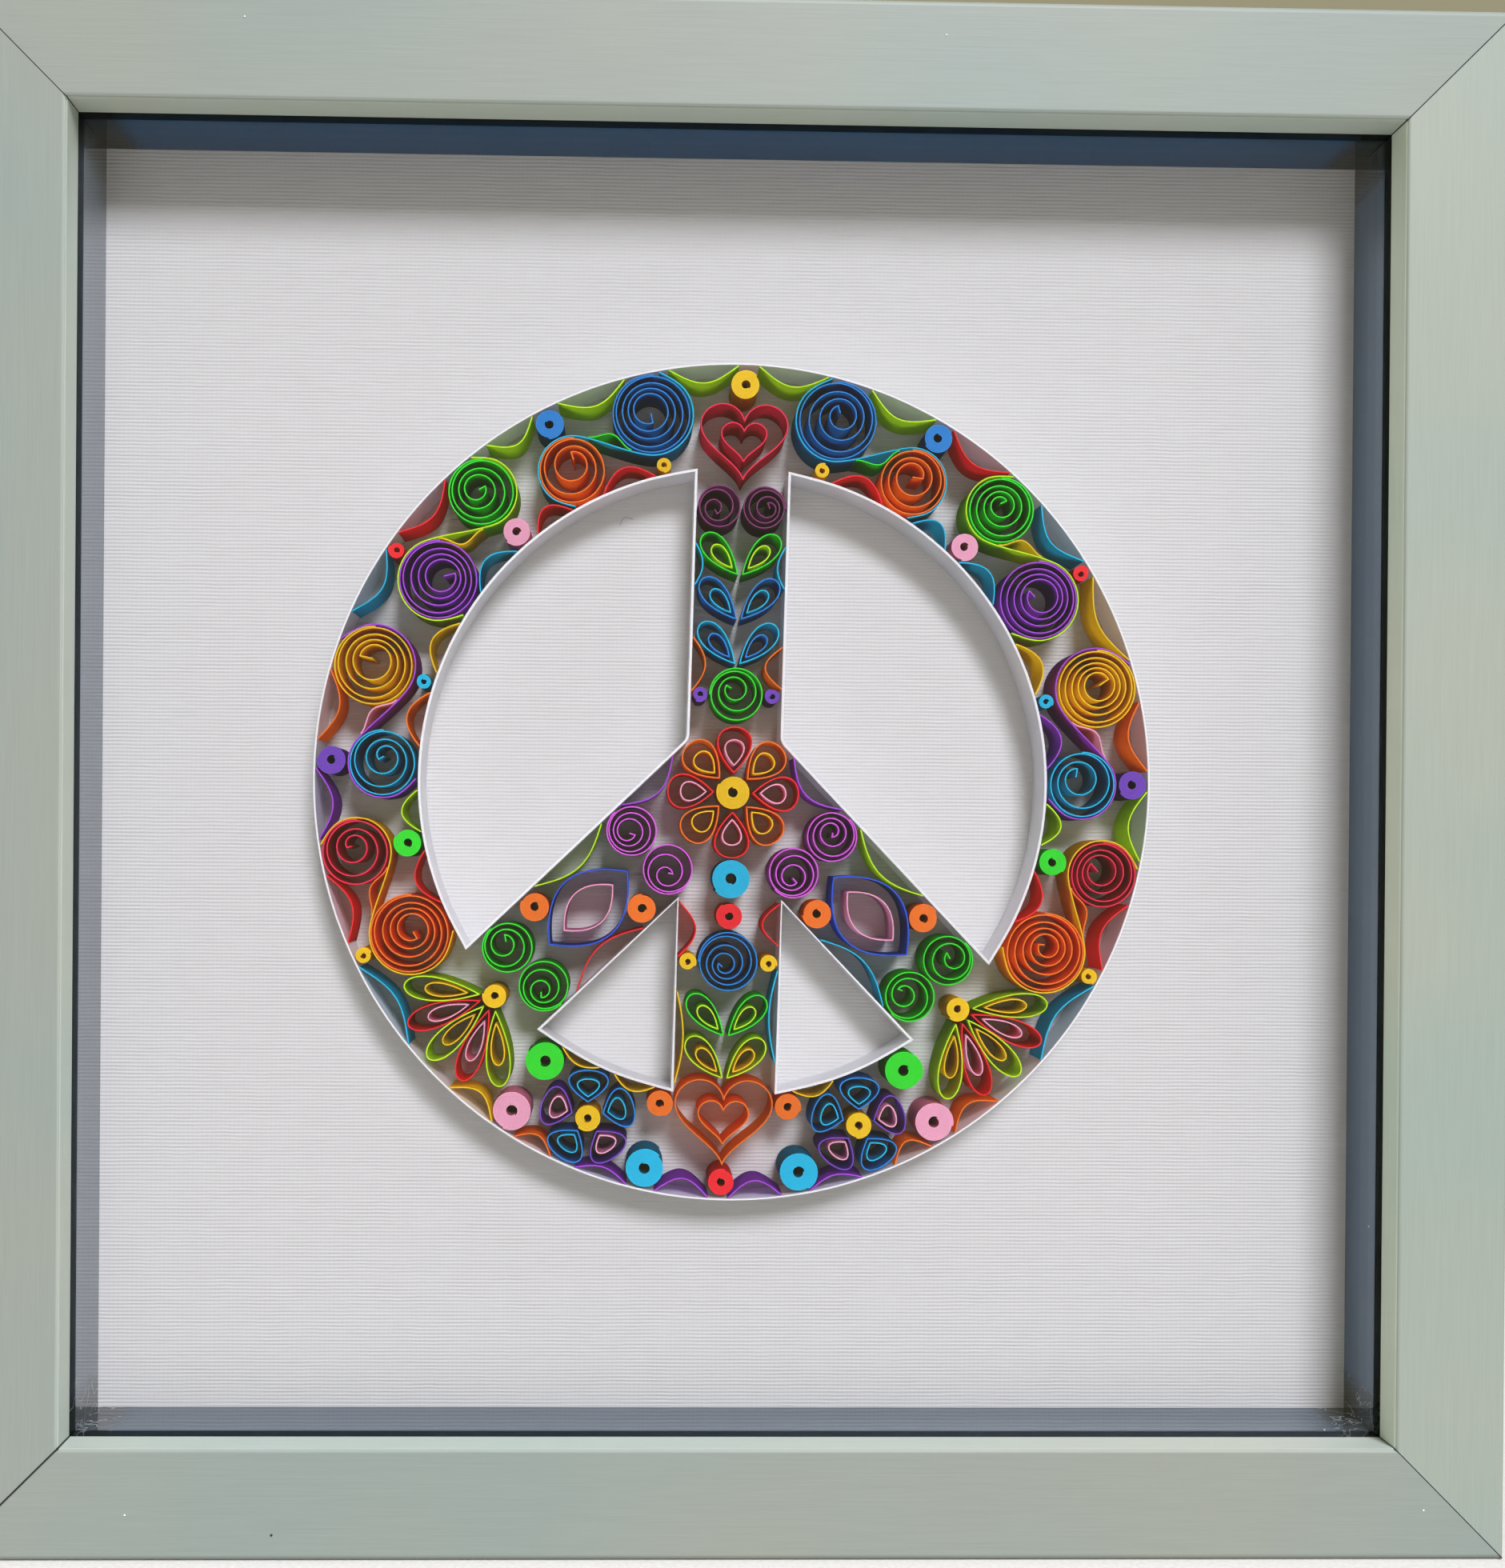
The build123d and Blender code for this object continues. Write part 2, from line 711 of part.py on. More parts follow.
def room_about(point):
    """Distance from a point to the nearest piece placed so far."""
    room = [apart(point, centre) - taken for centre, taken in taken_dots]
    room += [clear_of_path(point, path) - strip_thickness / 2 for path in taken_paths]
    return min(room)


def free_radius(spot_for):
    """Radius of the largest coil that clears every piece placed so far."""
    low = 0.0
    high = largest_filler
    for _ in range(20):
        radius = (low + high) / 2
        if room_about(spot_for(radius)) - paper_gap > radius:
            low = radius
        else:
            high = radius
    return low


def free_bearing(distance, radius, free, blocked):
    """Bearing closest to a blocked one at which a round piece clears the pieces placed so far."""
    for _ in range(20):
        bearing = (free + blocked) / 2
        if room_about(polar(distance, bearing)) - vine_clearance > radius:
            free = bearing
        else:
            blocked = bearing
    return free


def vine_end(radius):
    """Bearing of the last coil, which lies against the window arc and beside the fan."""
    belted = radius + paper_gap + strip_thickness
    return free_bearing(arc_wall + paper_gap + radius, belted, 90, 90 + arm_angle)


def build_fillers():
    """Stand a tight coil against a wall wherever one was planned and there is room."""
    for wall, bearing, colour in free_spots:
        radius = free_radius(lambda size: wall_point(wall, paper_gap + size, bearing))
        if radius > smallest_filler:
            spot = wall_point(wall, paper_gap + radius, bearing)
            tight_coil(f"tight_coils_{colour}", spot, radius)


def build_ring_filling():
    """Scrolls, loose coils and small tight coils between the ring and the upper windows."""
    coils = scroll_coils()
    for number in range(0, len(coils), 2):
        colour = scroll_colours[number // 2 % len(scroll_colours)]
        quill(f"scrolls_{colour}", scroll_path(coils[number], coils[number + 1]), False)
    for number, (wall, radius, bearing) in enumerate(coils):
        centre = wall_point(wall, paper_gap + radius, bearing)
        colour = coil_colours[number % len(coil_colours)]
        quill(f"loose_coils_{colour}", placed(loose_coil(radius), centre, (1, 0)), False)
        free_spots.append((-wall, bearing, dot_colours[number % len(dot_colours)]))


def build_ring_foot():
    """Blossoms between the ring and the lower windows, with tight coils beside them."""
    radius = band_middle - arc_wall - blossom_clearance
    beside_fan = free_bearing(band_middle, radius, 180, 90 + arm_angle)
    beside_bar = 180 - math.degrees(math.asin((lower_bar_half + radius) / band_middle))
    middle = (beside_fan + beside_bar) / 2
    step = 360 / blossom_petals
    bearings = [step * number for number in range(blossom_petals)]
    flower(polar(band_middle, middle), radius, blossom_heart, bearings, step,
           ("blue", "violet", "yellow"), (1, -1))
    reach = math.degrees((radius + largest_filler) / band_middle)
    for side, colours in ((-1, ("pink", "green")), (1, ("teal", "orange"))):
        for wall, colour in zip((1, -1), colours):
            free_spots.append((wall, middle + side * reach, colour))


def build_centre():
    """Daisy in the middle and the rows of the bar above it."""
    step = 360 / flower_petals
    bearings = [step * number for number in range(flower_petals)]
    flower((0, -daisy_drop), daisy_radius, daisy_heart, bearings, step,
           ("red", "orange", "yellow"), (1,))
    top = daisy_radius - daisy_drop
    half = bar_half - outline_thickness / 2
    rows = [
        partial(flanked_coil, colour="green", dot_colour="violet"),
        partial(leaf_pair, colour="teal"),
        partial(leaf_pair, colour="blue"),
        partial(leaf_pair, colour="green"),
        partial(coil_pair, colour="plum"),
        partial(heart_row, colour="crimson"),
        partial(dot_row, share=top_dot_share, colour="yellow"),
    ]
    fill_lane((0, top), (0, 1), ring_wall - top, half, rows)


def build_arms():
    """Rows of the two arms, and the fan where each arm meets the ring."""
    half = arm_half - outline_thickness / 2
    direction = arm_direction(1)
    start = (0, arm_lift)
    edge = along(start, (-direction[1], direction[0]), arm_half)
    lane_end = apart(meet_arc(edge, direction, window_radius), edge)
    begin = daisy_radius + arm_start
    rows = [
        partial(coil_pair, colour="magenta"),
        partial(eye_row, colour="navy", inner_colour="pink", dot_colour="orange"),
        partial(coil_pair, colour="green"),
    ]
    fill_lane(along(start, direction, begin), direction, lane_end - begin, half, rows, (1, -1))
    root = along(start, direction, lane_end + fan_heart)
    bearings = [90 + arm_angle + number * fan_step for number in (-2, -1, 0, 1, 2)]
    radius = ring_wall - fan_clearance - apart(root, (0, 0))
    flower(root, radius, fan_heart, bearings, fan_step, ("lime", "red", "yellow"), (1, -1))


def build_lower_bar():
    """Rows of the bar below the centre, from the ring upwards, and the coil above them."""
    half = lower_bar_half - outline_thickness / 2
    apex = arm_half / math.cos(math.radians(arm_angle)) - arm_lift
    apex += lower_bar_half * math.tan(math.radians(arm_angle))
    rows = [
        partial(dot_row, share=foot_dot_share, colour="red"),
        partial(heart_row, colour="orange"),
        partial(leaf_pair, colour="lime"),
        partial(leaf_pair, colour="green"),
        partial(flanked_coil, colour="blue", dot_colour="yellow"),
        partial(dot_row, share=foot_dot_share, colour="red"),
    ]
    fill_lane((0, -ring_wall), (0, 1), ring_wall - apex, half, rows)
    centre = (0, -(daisy_drop + daisy_radius + apex) / 2)
    radius = free_radius(lambda size: centre)
    tight_coil("tight_coils_teal", centre, radius, (1,))


scroll_colours = ("teal", "lime", "purple", "yellow", "red")
coil_colours = ("blue", "orange", "green", "purple", "yellow", "teal", "crimson", "orange", "lime",
                "plum")
dot_colours = ("yellow", "blue", "pink", "red", "teal", "violet", "green")

build_rails()
build_hanger()
build_stack()
build_outline()
build_centre()
build_arms()
build_ring_filling()
build_ring_foot()
build_lower_bar()
build_fillers()

os.makedirs("parts", exist_ok=True)
for node, solids in parts.items():
    shape = solids[0] if len(solids) == 1 else Compound(children=solids)
    export_step(shape, f"parts/{node}.step")
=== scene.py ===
"""Looks of a framed quilled paper picture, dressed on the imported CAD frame.

Every strip of paper is built again as a smooth ribbon whose place, size and lean are
fitted to the faceted CAD node that it stands for. The frame's own parts stay CAD nodes
and get procedural finishes.
"""

import logging
import math
from dataclasses import dataclass, field
from enum import Enum
from itertools import product

import bmesh
import bpy
import numpy as np
from bpy.types import Material, Mesh, NodeSocket, NodeTree, Object, Scene
from mathutils import Matrix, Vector
from mathutils.kdtree import KDTree


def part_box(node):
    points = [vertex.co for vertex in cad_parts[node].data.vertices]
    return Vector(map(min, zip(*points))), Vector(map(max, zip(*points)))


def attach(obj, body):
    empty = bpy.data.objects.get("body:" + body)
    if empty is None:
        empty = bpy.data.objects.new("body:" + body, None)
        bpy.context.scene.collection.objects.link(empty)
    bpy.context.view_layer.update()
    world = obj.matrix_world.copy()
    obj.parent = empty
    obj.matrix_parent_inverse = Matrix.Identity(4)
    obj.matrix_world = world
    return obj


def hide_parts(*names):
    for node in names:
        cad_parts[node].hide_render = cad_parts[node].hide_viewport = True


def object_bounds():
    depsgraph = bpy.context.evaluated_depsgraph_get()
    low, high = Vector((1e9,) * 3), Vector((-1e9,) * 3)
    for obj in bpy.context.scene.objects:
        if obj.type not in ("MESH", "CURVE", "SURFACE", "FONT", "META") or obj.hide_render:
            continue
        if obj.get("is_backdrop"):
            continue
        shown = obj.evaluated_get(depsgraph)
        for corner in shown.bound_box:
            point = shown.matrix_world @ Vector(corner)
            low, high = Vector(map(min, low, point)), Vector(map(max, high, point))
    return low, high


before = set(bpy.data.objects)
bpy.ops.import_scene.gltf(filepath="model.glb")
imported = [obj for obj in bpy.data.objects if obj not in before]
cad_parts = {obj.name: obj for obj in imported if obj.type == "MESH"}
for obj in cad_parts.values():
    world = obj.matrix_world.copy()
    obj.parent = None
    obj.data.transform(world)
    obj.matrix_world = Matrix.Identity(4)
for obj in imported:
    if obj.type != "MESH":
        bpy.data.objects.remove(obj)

LOG = logging.getLogger("scene")

MM = 0.001
MICRON = 1e-6
MICRONS_PER_METRE = 1e6
SEED = 7
PALEST = 0.95
NOISE_LOW, NOISE_HIGH = 0.3, 0.7


class Form(Enum):
    """The forms that a quilled strip is rolled or pinched into, by the nodes' names."""

    TIGHT_COIL = "tight_coils"
    LOOSE_COIL = "loose_coils"
    PETAL = "petals"
    MARQUISE = "marquises"
    HEART = "hearts"
    SCROLL = "scrolls"
    RING = "ring"
    WINDOW = "window"


def linear_colour(code: str) -> tuple[float, float, float, float]:
    """Turn an sRGB hex code into the linear colour that shaders take.

    Args:
        code: six hex digits after a hash sign.

    Returns:
        Red, green and blue in linear light, and full alpha.
    """
    shares = [int(code[start : start + 2], 16) / 255 for start in (1, 3, 5)]
    red, green, blue = (s / 12.92 if s <= 0.04045 else ((s + 0.055) / 1.055) ** 2.4 for s in shares)
    return (red, green, blue, 1.0)


def add_node(
    tree: NodeTree,
    kind: str,
    inputs: dict | tuple = (),
    result: str | int = 0,
    **settings: object,
) -> NodeSocket:
    """Add a shader node with its settings and links.

    Args:
        tree: the node tree of a material.
        kind: the node's type, after the word ShaderNode.
        inputs: values, or output sockets to link, in the order of the node's sockets, or
            by their names or numbers.
        result: name or number of the output.
        settings: properties of the node.

    Returns:
        The output socket.
    """
    node = tree.nodes.new(f"ShaderNode{kind}")
    for name, value in settings.items():
        setattr(node, name, value)
    for key, value in inputs.items() if isinstance(inputs, dict) else enumerate(inputs):
        if isinstance(value, NodeSocket):
            tree.links.new(value, node.inputs[key])
        else:
            node.inputs[key].default_value = value
    return node.outputs[result]


def new_material(name: str) -> tuple[Material, NodeTree, NodeSocket]:
    """Make an empty material.

    Args:
        name: what the surface is made of, and how it was made.

    Returns:
        The material, its node tree and the socket that takes its shader.
    """
    material = bpy.data.materials.new(name)
    material.use_nodes = True
    tree = material.node_tree
    tree.nodes.clear()
    return material, tree, tree.nodes.new("ShaderNodeOutputMaterial").inputs["Surface"]


def from_middle(tree: NodeTree, place: NodeSocket) -> tuple[NodeSocket, NodeSocket]:
    """Add the distances |x| and |z - middle| from the picture's middle.

    Args:
        tree: the node tree.
        place: object coordinates.

    Returns:
        Both distances.
    """
    low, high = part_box("linen_card")
    middle = (0.0, 0.0, (low.z + high.z) / 2)
    moved = add_node(tree, "VectorMath", (place, middle), operation="SUBTRACT")
    sizes = add_node(tree, "VectorMath", (moved,), operation="ABSOLUTE")
    axes = add_node(tree, "SeparateXYZ", (sizes,)).node.outputs
    return axes["X"], axes["Z"]


@dataclass(frozen=True)
class QuillingPaper:
    """Dyed quilling paper, slit into strips on a guillotine.

    Gives the eye matt, even colour with a cut edge that is paler, partly as the fibre's own
    and partly as a painted highlight where it catches the light, and lets light through,
    which tints what stands behind it.
    """

    colour: str
    edge_highlight_gain: float = 1.5
    edge_highlight_white: float = 0.01
    roughness: float = 0.6
    gloss: float = 0.25
    see_through: float = 0.75
    fibre_pitch: float = 0.35 * MM
    fibre_depth: float = 0.02 * MM
    mottle: float = 0.04

    def material(self) -> Material:
        """Make the paper's material.

        Returns:
            The Blender material.
        """
        made, tree, surface = new_material(f"quilling_paper_{self.colour[1:]}")
        face = np.array(linear_colour(self.colour)[:3])
        # Painted highlight: the cut edge is made paler, partly as the fibre's own and partly for
        # the light it catches.
        gain = min(self.edge_highlight_gain, PALEST / float(face.max()))
        edge = np.minimum(face * gain + self.edge_highlight_white, PALEST)
        place = add_node(tree, "TexCoord", result="Object")
        grain = {"Vector": place, "Scale": 1 / self.fibre_pitch, "Detail": 1.0, "Roughness": 0.6}
        fibres = add_node(tree, "TexNoise", grain)
        cut = add_node(tree, "Attribute", result="Fac", attribute_name="cut_edge")
        shade = add_node(tree, "Attribute", result="Fac", attribute_name="shade")
        colours = {0: cut, 6: (*face, 1.0), 7: (*edge, 1.0)}
        tone = add_node(tree, "Mix", colours, 2, data_type="RGBA")
        spread = (fibres, NOISE_LOW, NOISE_HIGH, 1 - self.mottle, 1 + self.mottle)
        mottle = add_node(tree, "MapRange", spread)
        strength = add_node(tree, "Math", (mottle, shade), operation="MULTIPLY")
        relief = {"Height": fibres, "Distance": self.fibre_depth, "Strength": 0.5}
        looks = {
            "Base Color": add_node(
                tree, "VectorMath", {0: tone, "Scale": strength}, operation="SCALE"
            ),
            "Roughness": self.roughness,
            "Specular IOR Level": self.gloss,
            "Normal": add_node(tree, "Bump", relief),
        }
        front = add_node(tree, "BsdfPrincipled", looks)
        through = add_node(tree, "BsdfTranslucent", ((*np.sqrt(face), 1.0),))
        share = add_node(tree, "MapRange", (cut, 0.0, 1.0, self.see_through, 0.0))
        tree.links.new(add_node(tree, "MixShader", (share, front, through)), surface)
        return made


@dataclass(frozen=True)
class LinenCard:
    """White card pressed between linen rollers.

    Gives the eye fine level ribs crossed by a fainter weave, and a plain white.
    """

    colour: str = "#d9d8d8"
    roughness: float = 0.7
    rib_pitch: float = 0.72 * MM
    weave_pitch: float = 0.9 * MM
    weave_share: float = 0.08
    thread_pitch: float = 1.1 * MM
    thread_stretch: float = 0.12
    drift_pitch: float = 9.0 * MM
    drift_turn: float = 3.0
    depth: float = 0.055 * MM

    def material(self) -> Material:
        """Make the card's material.

        Returns:
            The Blender material.
        """
        made, tree, surface = new_material("linen_embossed_card")
        place = add_node(tree, "TexCoord", result="Object")
        slow = {"Vector": place, "Scale": 1 / self.drift_pitch, "Detail": 2.0, "Roughness": 0.7}
        drift = add_node(tree, "TexNoise", slow)
        drawn = {"Vector": place, "Scale": (self.thread_stretch, 1.0, 1.0)}
        along = add_node(tree, "Mapping", drawn)
        yarn = {"Vector": along, "Scale": 1 / self.thread_pitch, "Detail": 1.0}
        threads = add_node(tree, "TexNoise", yarn)
        axes = add_node(tree, "SeparateXYZ", (place,)).node.outputs
        ribs = self.wave(tree, axes["Z"], self.rib_pitch, drift)
        weave = self.wave(tree, axes["X"], self.weave_pitch, drift)
        ribbed = add_node(tree, "Math", (ribs, threads), operation="MULTIPLY")
        parts = (weave, self.weave_share, ribbed)
        height = add_node(tree, "Math", parts, operation="MULTIPLY_ADD")
        looks = {
            "Base Color": linear_colour(self.colour),
            "Roughness": self.roughness,
            "Normal": add_node(
                tree, "Bump", {"Height": height, "Distance": self.depth, "Strength": 1.0}
            ),
        }
        tree.links.new(add_node(tree, "BsdfPrincipled", looks), surface)
        return made

    def wave(
        self,
        tree: NodeTree,
        along: NodeSocket,
        pitch: float,
        drift: NodeSocket,
    ) -> NodeSocket:
        """Add rows of ribs, sin(2 pi place / pitch + turn drift).

        Args:
            tree: the node tree.
            along: the coordinate across the ribs.
            pitch: distance from rib to rib.
            drift: slow noise that lets the ribs wander.

        Returns:
            The ribs' height.
        """
        angle = add_node(tree, "Math", (along, 2 * math.pi / pitch), operation="MULTIPLY")
        wandering = (drift, self.drift_turn, angle)
        moved = add_node(tree, "Math", wandering, operation="MULTIPLY_ADD")
        return add_node(tree, "Math", (moved,), operation="SINE")


@dataclass(frozen=True)
class SatinFoil:
    """Wood-grain foil wrapped round the rail moulding.

    Gives the eye a flat sage grey with slow warmer and greyer patches, a very fine grain
    that runs along the rail, a lip made paler as painted light, and a thin painted
    highlight line along the lip's edge.
    """

    rail: str
    along_x: bool
    colour: str = "#727b75"
    warm: str = "#787c73"
    roughness: float = 0.5
    gloss: float = 0.26
    lip_painted_light_gain: float = 2.0
    painted_highlight_gain: float = 1.0
    lip_reach: float = 124.3 * MM
    lip_blend: float = 0.1 * MM
    painted_highlight_width: float = 0.35 * MM
    patch_pitch: float = 60.0 * MM
    grain_pitch: float = 0.35 * MM
    grain_depth: float = 0.03 * MM
    grain_stretch: float = 0.02
    patch_range: tuple[float, float] = (0.35, 0.7)
    grain_range: tuple[float, float] = (0.25, 0.75)
    grain_tones: tuple[float, float] = (0.95, 1.04)

    def material(self) -> Material:
        """Make the foil's material.

        Returns:
            The Blender material.
        """
        made, tree, surface = new_material(f"satin_foil_with_painted_light_{self.rail}")
        place = add_node(tree, "TexCoord", result="Object")
        cloud = {"Vector": place, "Scale": 1 / self.patch_pitch, "Detail": 1.0}
        clouds = add_node(tree, "TexNoise", cloud)
        patches = add_node(tree, "MapRange", (clouds, *self.patch_range))
        pair = {0: patches, 6: linear_colour(self.colour), 7: linear_colour(self.warm)}
        slow = add_node(tree, "Mix", pair, 2, data_type="RGBA")
        scale = (self.grain_stretch, 1.0, 1.0) if self.along_x else (1.0, 1.0, self.grain_stretch)
        drawn = add_node(tree, "Mapping", {"Vector": place, "Scale": scale})
        fine = {"Vector": drawn, "Scale": 1 / self.grain_pitch, "Detail": 2.0, "Roughness": 0.7}
        grain = add_node(tree, "TexNoise", fine)
        tone = add_node(tree, "MapRange", (grain, *self.grain_range, *self.grain_tones))
        reach = add_node(tree, "Math", from_middle(tree, place), operation="MAXIMUM")
        # Painted light: the lip is made paler, and a thin line at its edge is a painted highlight.
        lip = self.painted_lip_light(tree, reach)
        strength = add_node(tree, "Math", (tone, lip), operation="MULTIPLY")
        relief = {"Height": grain, "Distance": self.grain_depth, "Strength": 0.4}
        looks = {
            "Base Color": add_node(
                tree, "VectorMath", {0: slow, "Scale": strength}, operation="SCALE"
            ),
            "Roughness": self.roughness,
            "Specular IOR Level": self.gloss,
            "Normal": add_node(tree, "Bump", relief),
        }
        tree.links.new(add_node(tree, "BsdfPrincipled", looks), surface)
        return made

    def painted_lip_light(self, tree: NodeTree, reach: NodeSocket) -> NodeSocket:
        """Add the steps from the lip's painted light over a thin painted highlight line to the
        face.

        Args:
            tree: the node tree.
            reach: distance from the picture's middle, max(|x|, |z - middle|).

        Returns:
            The colour's factor: the lip's painted-light gain, the painted highlight's gain,
            and 1 on the face.
        """
        inner, outer = self.lip_reach, self.lip_reach + self.painted_highlight_width
        fall = (reach, inner, inner + self.lip_blend, self.lip_painted_light_gain - self.painted_highlight_gain, 0.0)
        rest = (reach, outer, outer + self.lip_blend, self.painted_highlight_gain, 1.0)
        both = (add_node(tree, "MapRange", fall), add_node(tree, "MapRange", rest))
        return add_node(tree, "Math", both, operation="ADD")


@dataclass(frozen=True)
class PolishedSpacer:
    """Navy plastic strip, extruded with a polished face.

    Gives the eye a dark mirror that brightens at a slant, with a pale veil that is part
    dust and part painted light, painted near-black shade in the corners, an end face
    painted near-black as the shade in the gap behind the lip, and pale scuffs where the
    strips were pushed together in the two lower corners.
    """

    side: str
    colour: str
    ior: float
    scuff: str = "#9fb0b4"
    roughness: float = 0.03
    scuff_roughness: float = 0.5
    scuff_pitch: float = 5.0 * MM
    scuff_width: float = 0.008
    painted_corner_shade: str = "#0c2230"
    corner_from: float = 115.5 * MM
    corner_full: float = 119.5 * MM
    wall_reach: float = 123.8 * MM
    wall_blend: float = 0.05 * MM
    painted_gap_shade_share: float = 0.2

    def material(self) -> Material:
        """Make the spacer's material.

        Returns:
            The Blender material.
        """
        made, tree, surface = new_material(f"polished_navy_plastic_painted_light_{self.side}")
        place = add_node(tree, "TexCoord", result="Object")
        distances = from_middle(tree, place)
        reach = add_node(tree, "Math", distances, operation="MAXIMUM")
        corner = add_node(tree, "Math", distances, operation="MINIMUM")
        near = add_node(tree, "MapRange", (corner, self.corner_from, self.corner_full))
        scuffs = self.scuffs(tree, place, near)
        # The pale colour is part dust and part painted light; towards the corners it turns to
        # painted near-black shade.
        pair = {0: near, 6: linear_colour(self.colour), 7: linear_colour(self.painted_corner_shade)}
        dust_and_painted_light = add_node(tree, "Mix", pair, 2, data_type="RGBA")
        worn = {0: scuffs, 6: dust_and_painted_light, 7: linear_colour(self.scuff)}
        tone = add_node(tree, "Mix", worn, 2, data_type="RGBA")
        # Painted shade: the end face beside the lip turns near-black, standing in for the shade in
        # the gap.
        edge = self.wall_reach + self.wall_blend
        wall = add_node(tree, "MapRange", (reach, self.wall_reach, edge, 1.0, self.painted_gap_shade_share))
        rough = (scuffs, 0.0, 1.0, self.roughness, self.scuff_roughness)
        looks = {
            "Base Color": add_node(tree, "VectorMath", {0: tone, "Scale": wall}, operation="SCALE"),
            "Roughness": add_node(tree, "MapRange", rough),
            "IOR": self.ior,
        }
        tree.links.new(add_node(tree, "BsdfPrincipled", looks), surface)
        return made

    def scuffs(self, tree: NodeTree, place: NodeSocket, near: NodeSocket) -> NodeSocket:
        """Add thin wandering lines where slow noise crosses 0.5, near the lower corners.

        Args:
            tree: the node tree.
            place: object coordinates.
            near: how close to a corner.

        Returns:
            1 on a scuff and 0 beside it.
        """
        slow = {"Vector": place, "Scale": 1 / self.scuff_pitch, "Detail": 2.0}
        crossing = (add_node(tree, "TexNoise", slow), 0.5, self.scuff_width)
        lines = add_node(tree, "Math", crossing, operation="COMPARE")
        height = add_node(tree, "SeparateXYZ", (place,), "Z")
        half_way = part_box("linen_card")[1].z / 2
        low = add_node(tree, "Math", (height, half_way), operation="LESS_THAN")
        there = add_node(tree, "Math", (near, low), operation="MULTIPLY")
        return add_node(tree, "Math", (there, lines), operation="MULTIPLY")


@dataclass(frozen=True)
class PlainFinish:
    """A finish with one colour and a fine mottle.

    Serves the pressed hardboard, the plated steel, the floor and small marks.
    """

    name: str
    colour: str
    roughness: float
    metallic: float = 0.0
    mottle: float = 0.08
    mottle_pitch: float = 1.0 * MM

    def material(self) -> Material:
        """Make the finish's material.

        Returns:
            The Blender material.
        """
        made, tree, surface = new_material(self.name)
        place = add_node(tree, "TexCoord", result="Object")
        grain = {"Vector": place, "Scale": 1 / self.mottle_pitch, "Detail": 2.0, "Roughness": 0.7}
        fine = add_node(tree, "TexNoise", grain)
        spread = (fine, NOISE_LOW, NOISE_HIGH, 1 - self.mottle, 1 + self.mottle)
        mottled = {0: linear_colour(self.colour)[:3], "Scale": add_node(tree, "MapRange", spread)}
        looks = {
            "Base Color": add_node(tree, "VectorMath", mottled, operation="SCALE"),
            "Roughness": self.roughness,
            "Metallic": self.metallic,
        }
        tree.links.new(add_node(tree, "BsdfPrincipled", looks), surface)
        return made


@dataclass(frozen=True)
class FloatGlass:
    """Clear float glass.

    Gives the eye a faint mirror that strengthens at a slant, and else lets all through.
    Past about 43 degrees off its normal the inner face mirrors everything.
    """

    tint: str = "#fdfdfd"
    ior: float = 1.45
    roughness: float = 0.0

    def material(self) -> Material:
        """Make the glass's material.

        Returns:
            The Blender material.
        """
        made, tree, surface = new_material("clear_float_glass")
        share = add_node(tree, "Fresnel", (self.ior,))
        clear = add_node(tree, "BsdfTransparent", (linear_colour(self.tint),))
        mirror = add_node(tree, "BsdfGlossy", {"Roughness": self.roughness})
        tree.links.new(add_node(tree, "MixShader", (share, clear, mirror)), surface)
        return made


@dataclass
class NodeOutline:
    """The front outlines of a CAD node's solids, read from its mesh."""

    name: str
    uneven: float = 5 * MICRON
    facing: float = 0.9
    back: float = field(init=False)
    front: float = field(init=False)
    solids: list[list[np.ndarray]] = field(init=False)

    def __post_init__(self) -> None:
        """Read the node's mesh and chain the edges of its front faces."""
        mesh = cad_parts[self.name].data
        places = np.zeros(len(mesh.vertices) * 3, np.float32)
        mesh.vertices.foreach_get("co", places)
        mesh.calc_loop_triangles()
        triangles = np.zeros(len(mesh.loop_triangles) * 3, np.int32)
        mesh.loop_triangles.foreach_get("vertices", triangles)
        microns = np.round(places.reshape(-1, 3) * MICRONS_PER_METRE).astype(np.int64)
        self.back = float(microns[:, 1].max()) * MICRON
        self.front = float(microns[:, 1].min()) * MICRON
        points, merged = np.unique(microns, axis=0, return_inverse=True)
        points = points * MICRON
        triangles = merged.reshape(-1)[triangles].reshape(-1, 3)
        corners = points[triangles]
        normals = np.cross(corners[:, 1] - corners[:, 0], corners[:, 2] - corners[:, 0])
        length = np.linalg.norm(normals, axis=1)
        level = np.abs(corners[:, :, 1] - self.front).max(1) < self.uneven
        front_faces = triangles[(normals[:, 1] < -self.facing * length) & level]
        self.solids = self.chained(points, front_faces)

    @staticmethod
    def chained(points: np.ndarray, faces: np.ndarray) -> list[list[np.ndarray]]:
        """Chain the border edges of flat faces to loops, and group the loops by solid.

        Args:
            points: places of the vertices.
            faces: vertex numbers of the triangles.

        Returns:
            For each solid its loops, the outer one first and counter-clockwise as the
            viewer sees it, each point as a complex number x + iz.
        """
        edges = np.concatenate([faces[:, [0, 1]], faces[:, [1, 2]], faces[:, [2, 0]]])
        known = {(int(a), int(b)) for a, b in edges}
        following = {a: b for a, b in known if (b, a) not in known}
        labels = np.arange(len(points))
        while True:
            lowest = labels[faces].min(1)
            before = labels.copy()
            np.minimum.at(labels, faces.reshape(-1), np.repeat(lowest, 3))
            if (before == labels).all():
                break
        flat = points[:, 0] + 1j * points[:, 2]
        groups: dict[int, list[np.ndarray]] = {}
        while following:
            start, here = following.popitem()
            loop = [start]
            while here != start:
                loop.append(here)
                here = following.pop(here)
            groups.setdefault(int(labels[start]), []).append(flat[loop])
        return [sorted(loops, key=lambda loop: -abs(area(loop))) for loops in groups.values()]


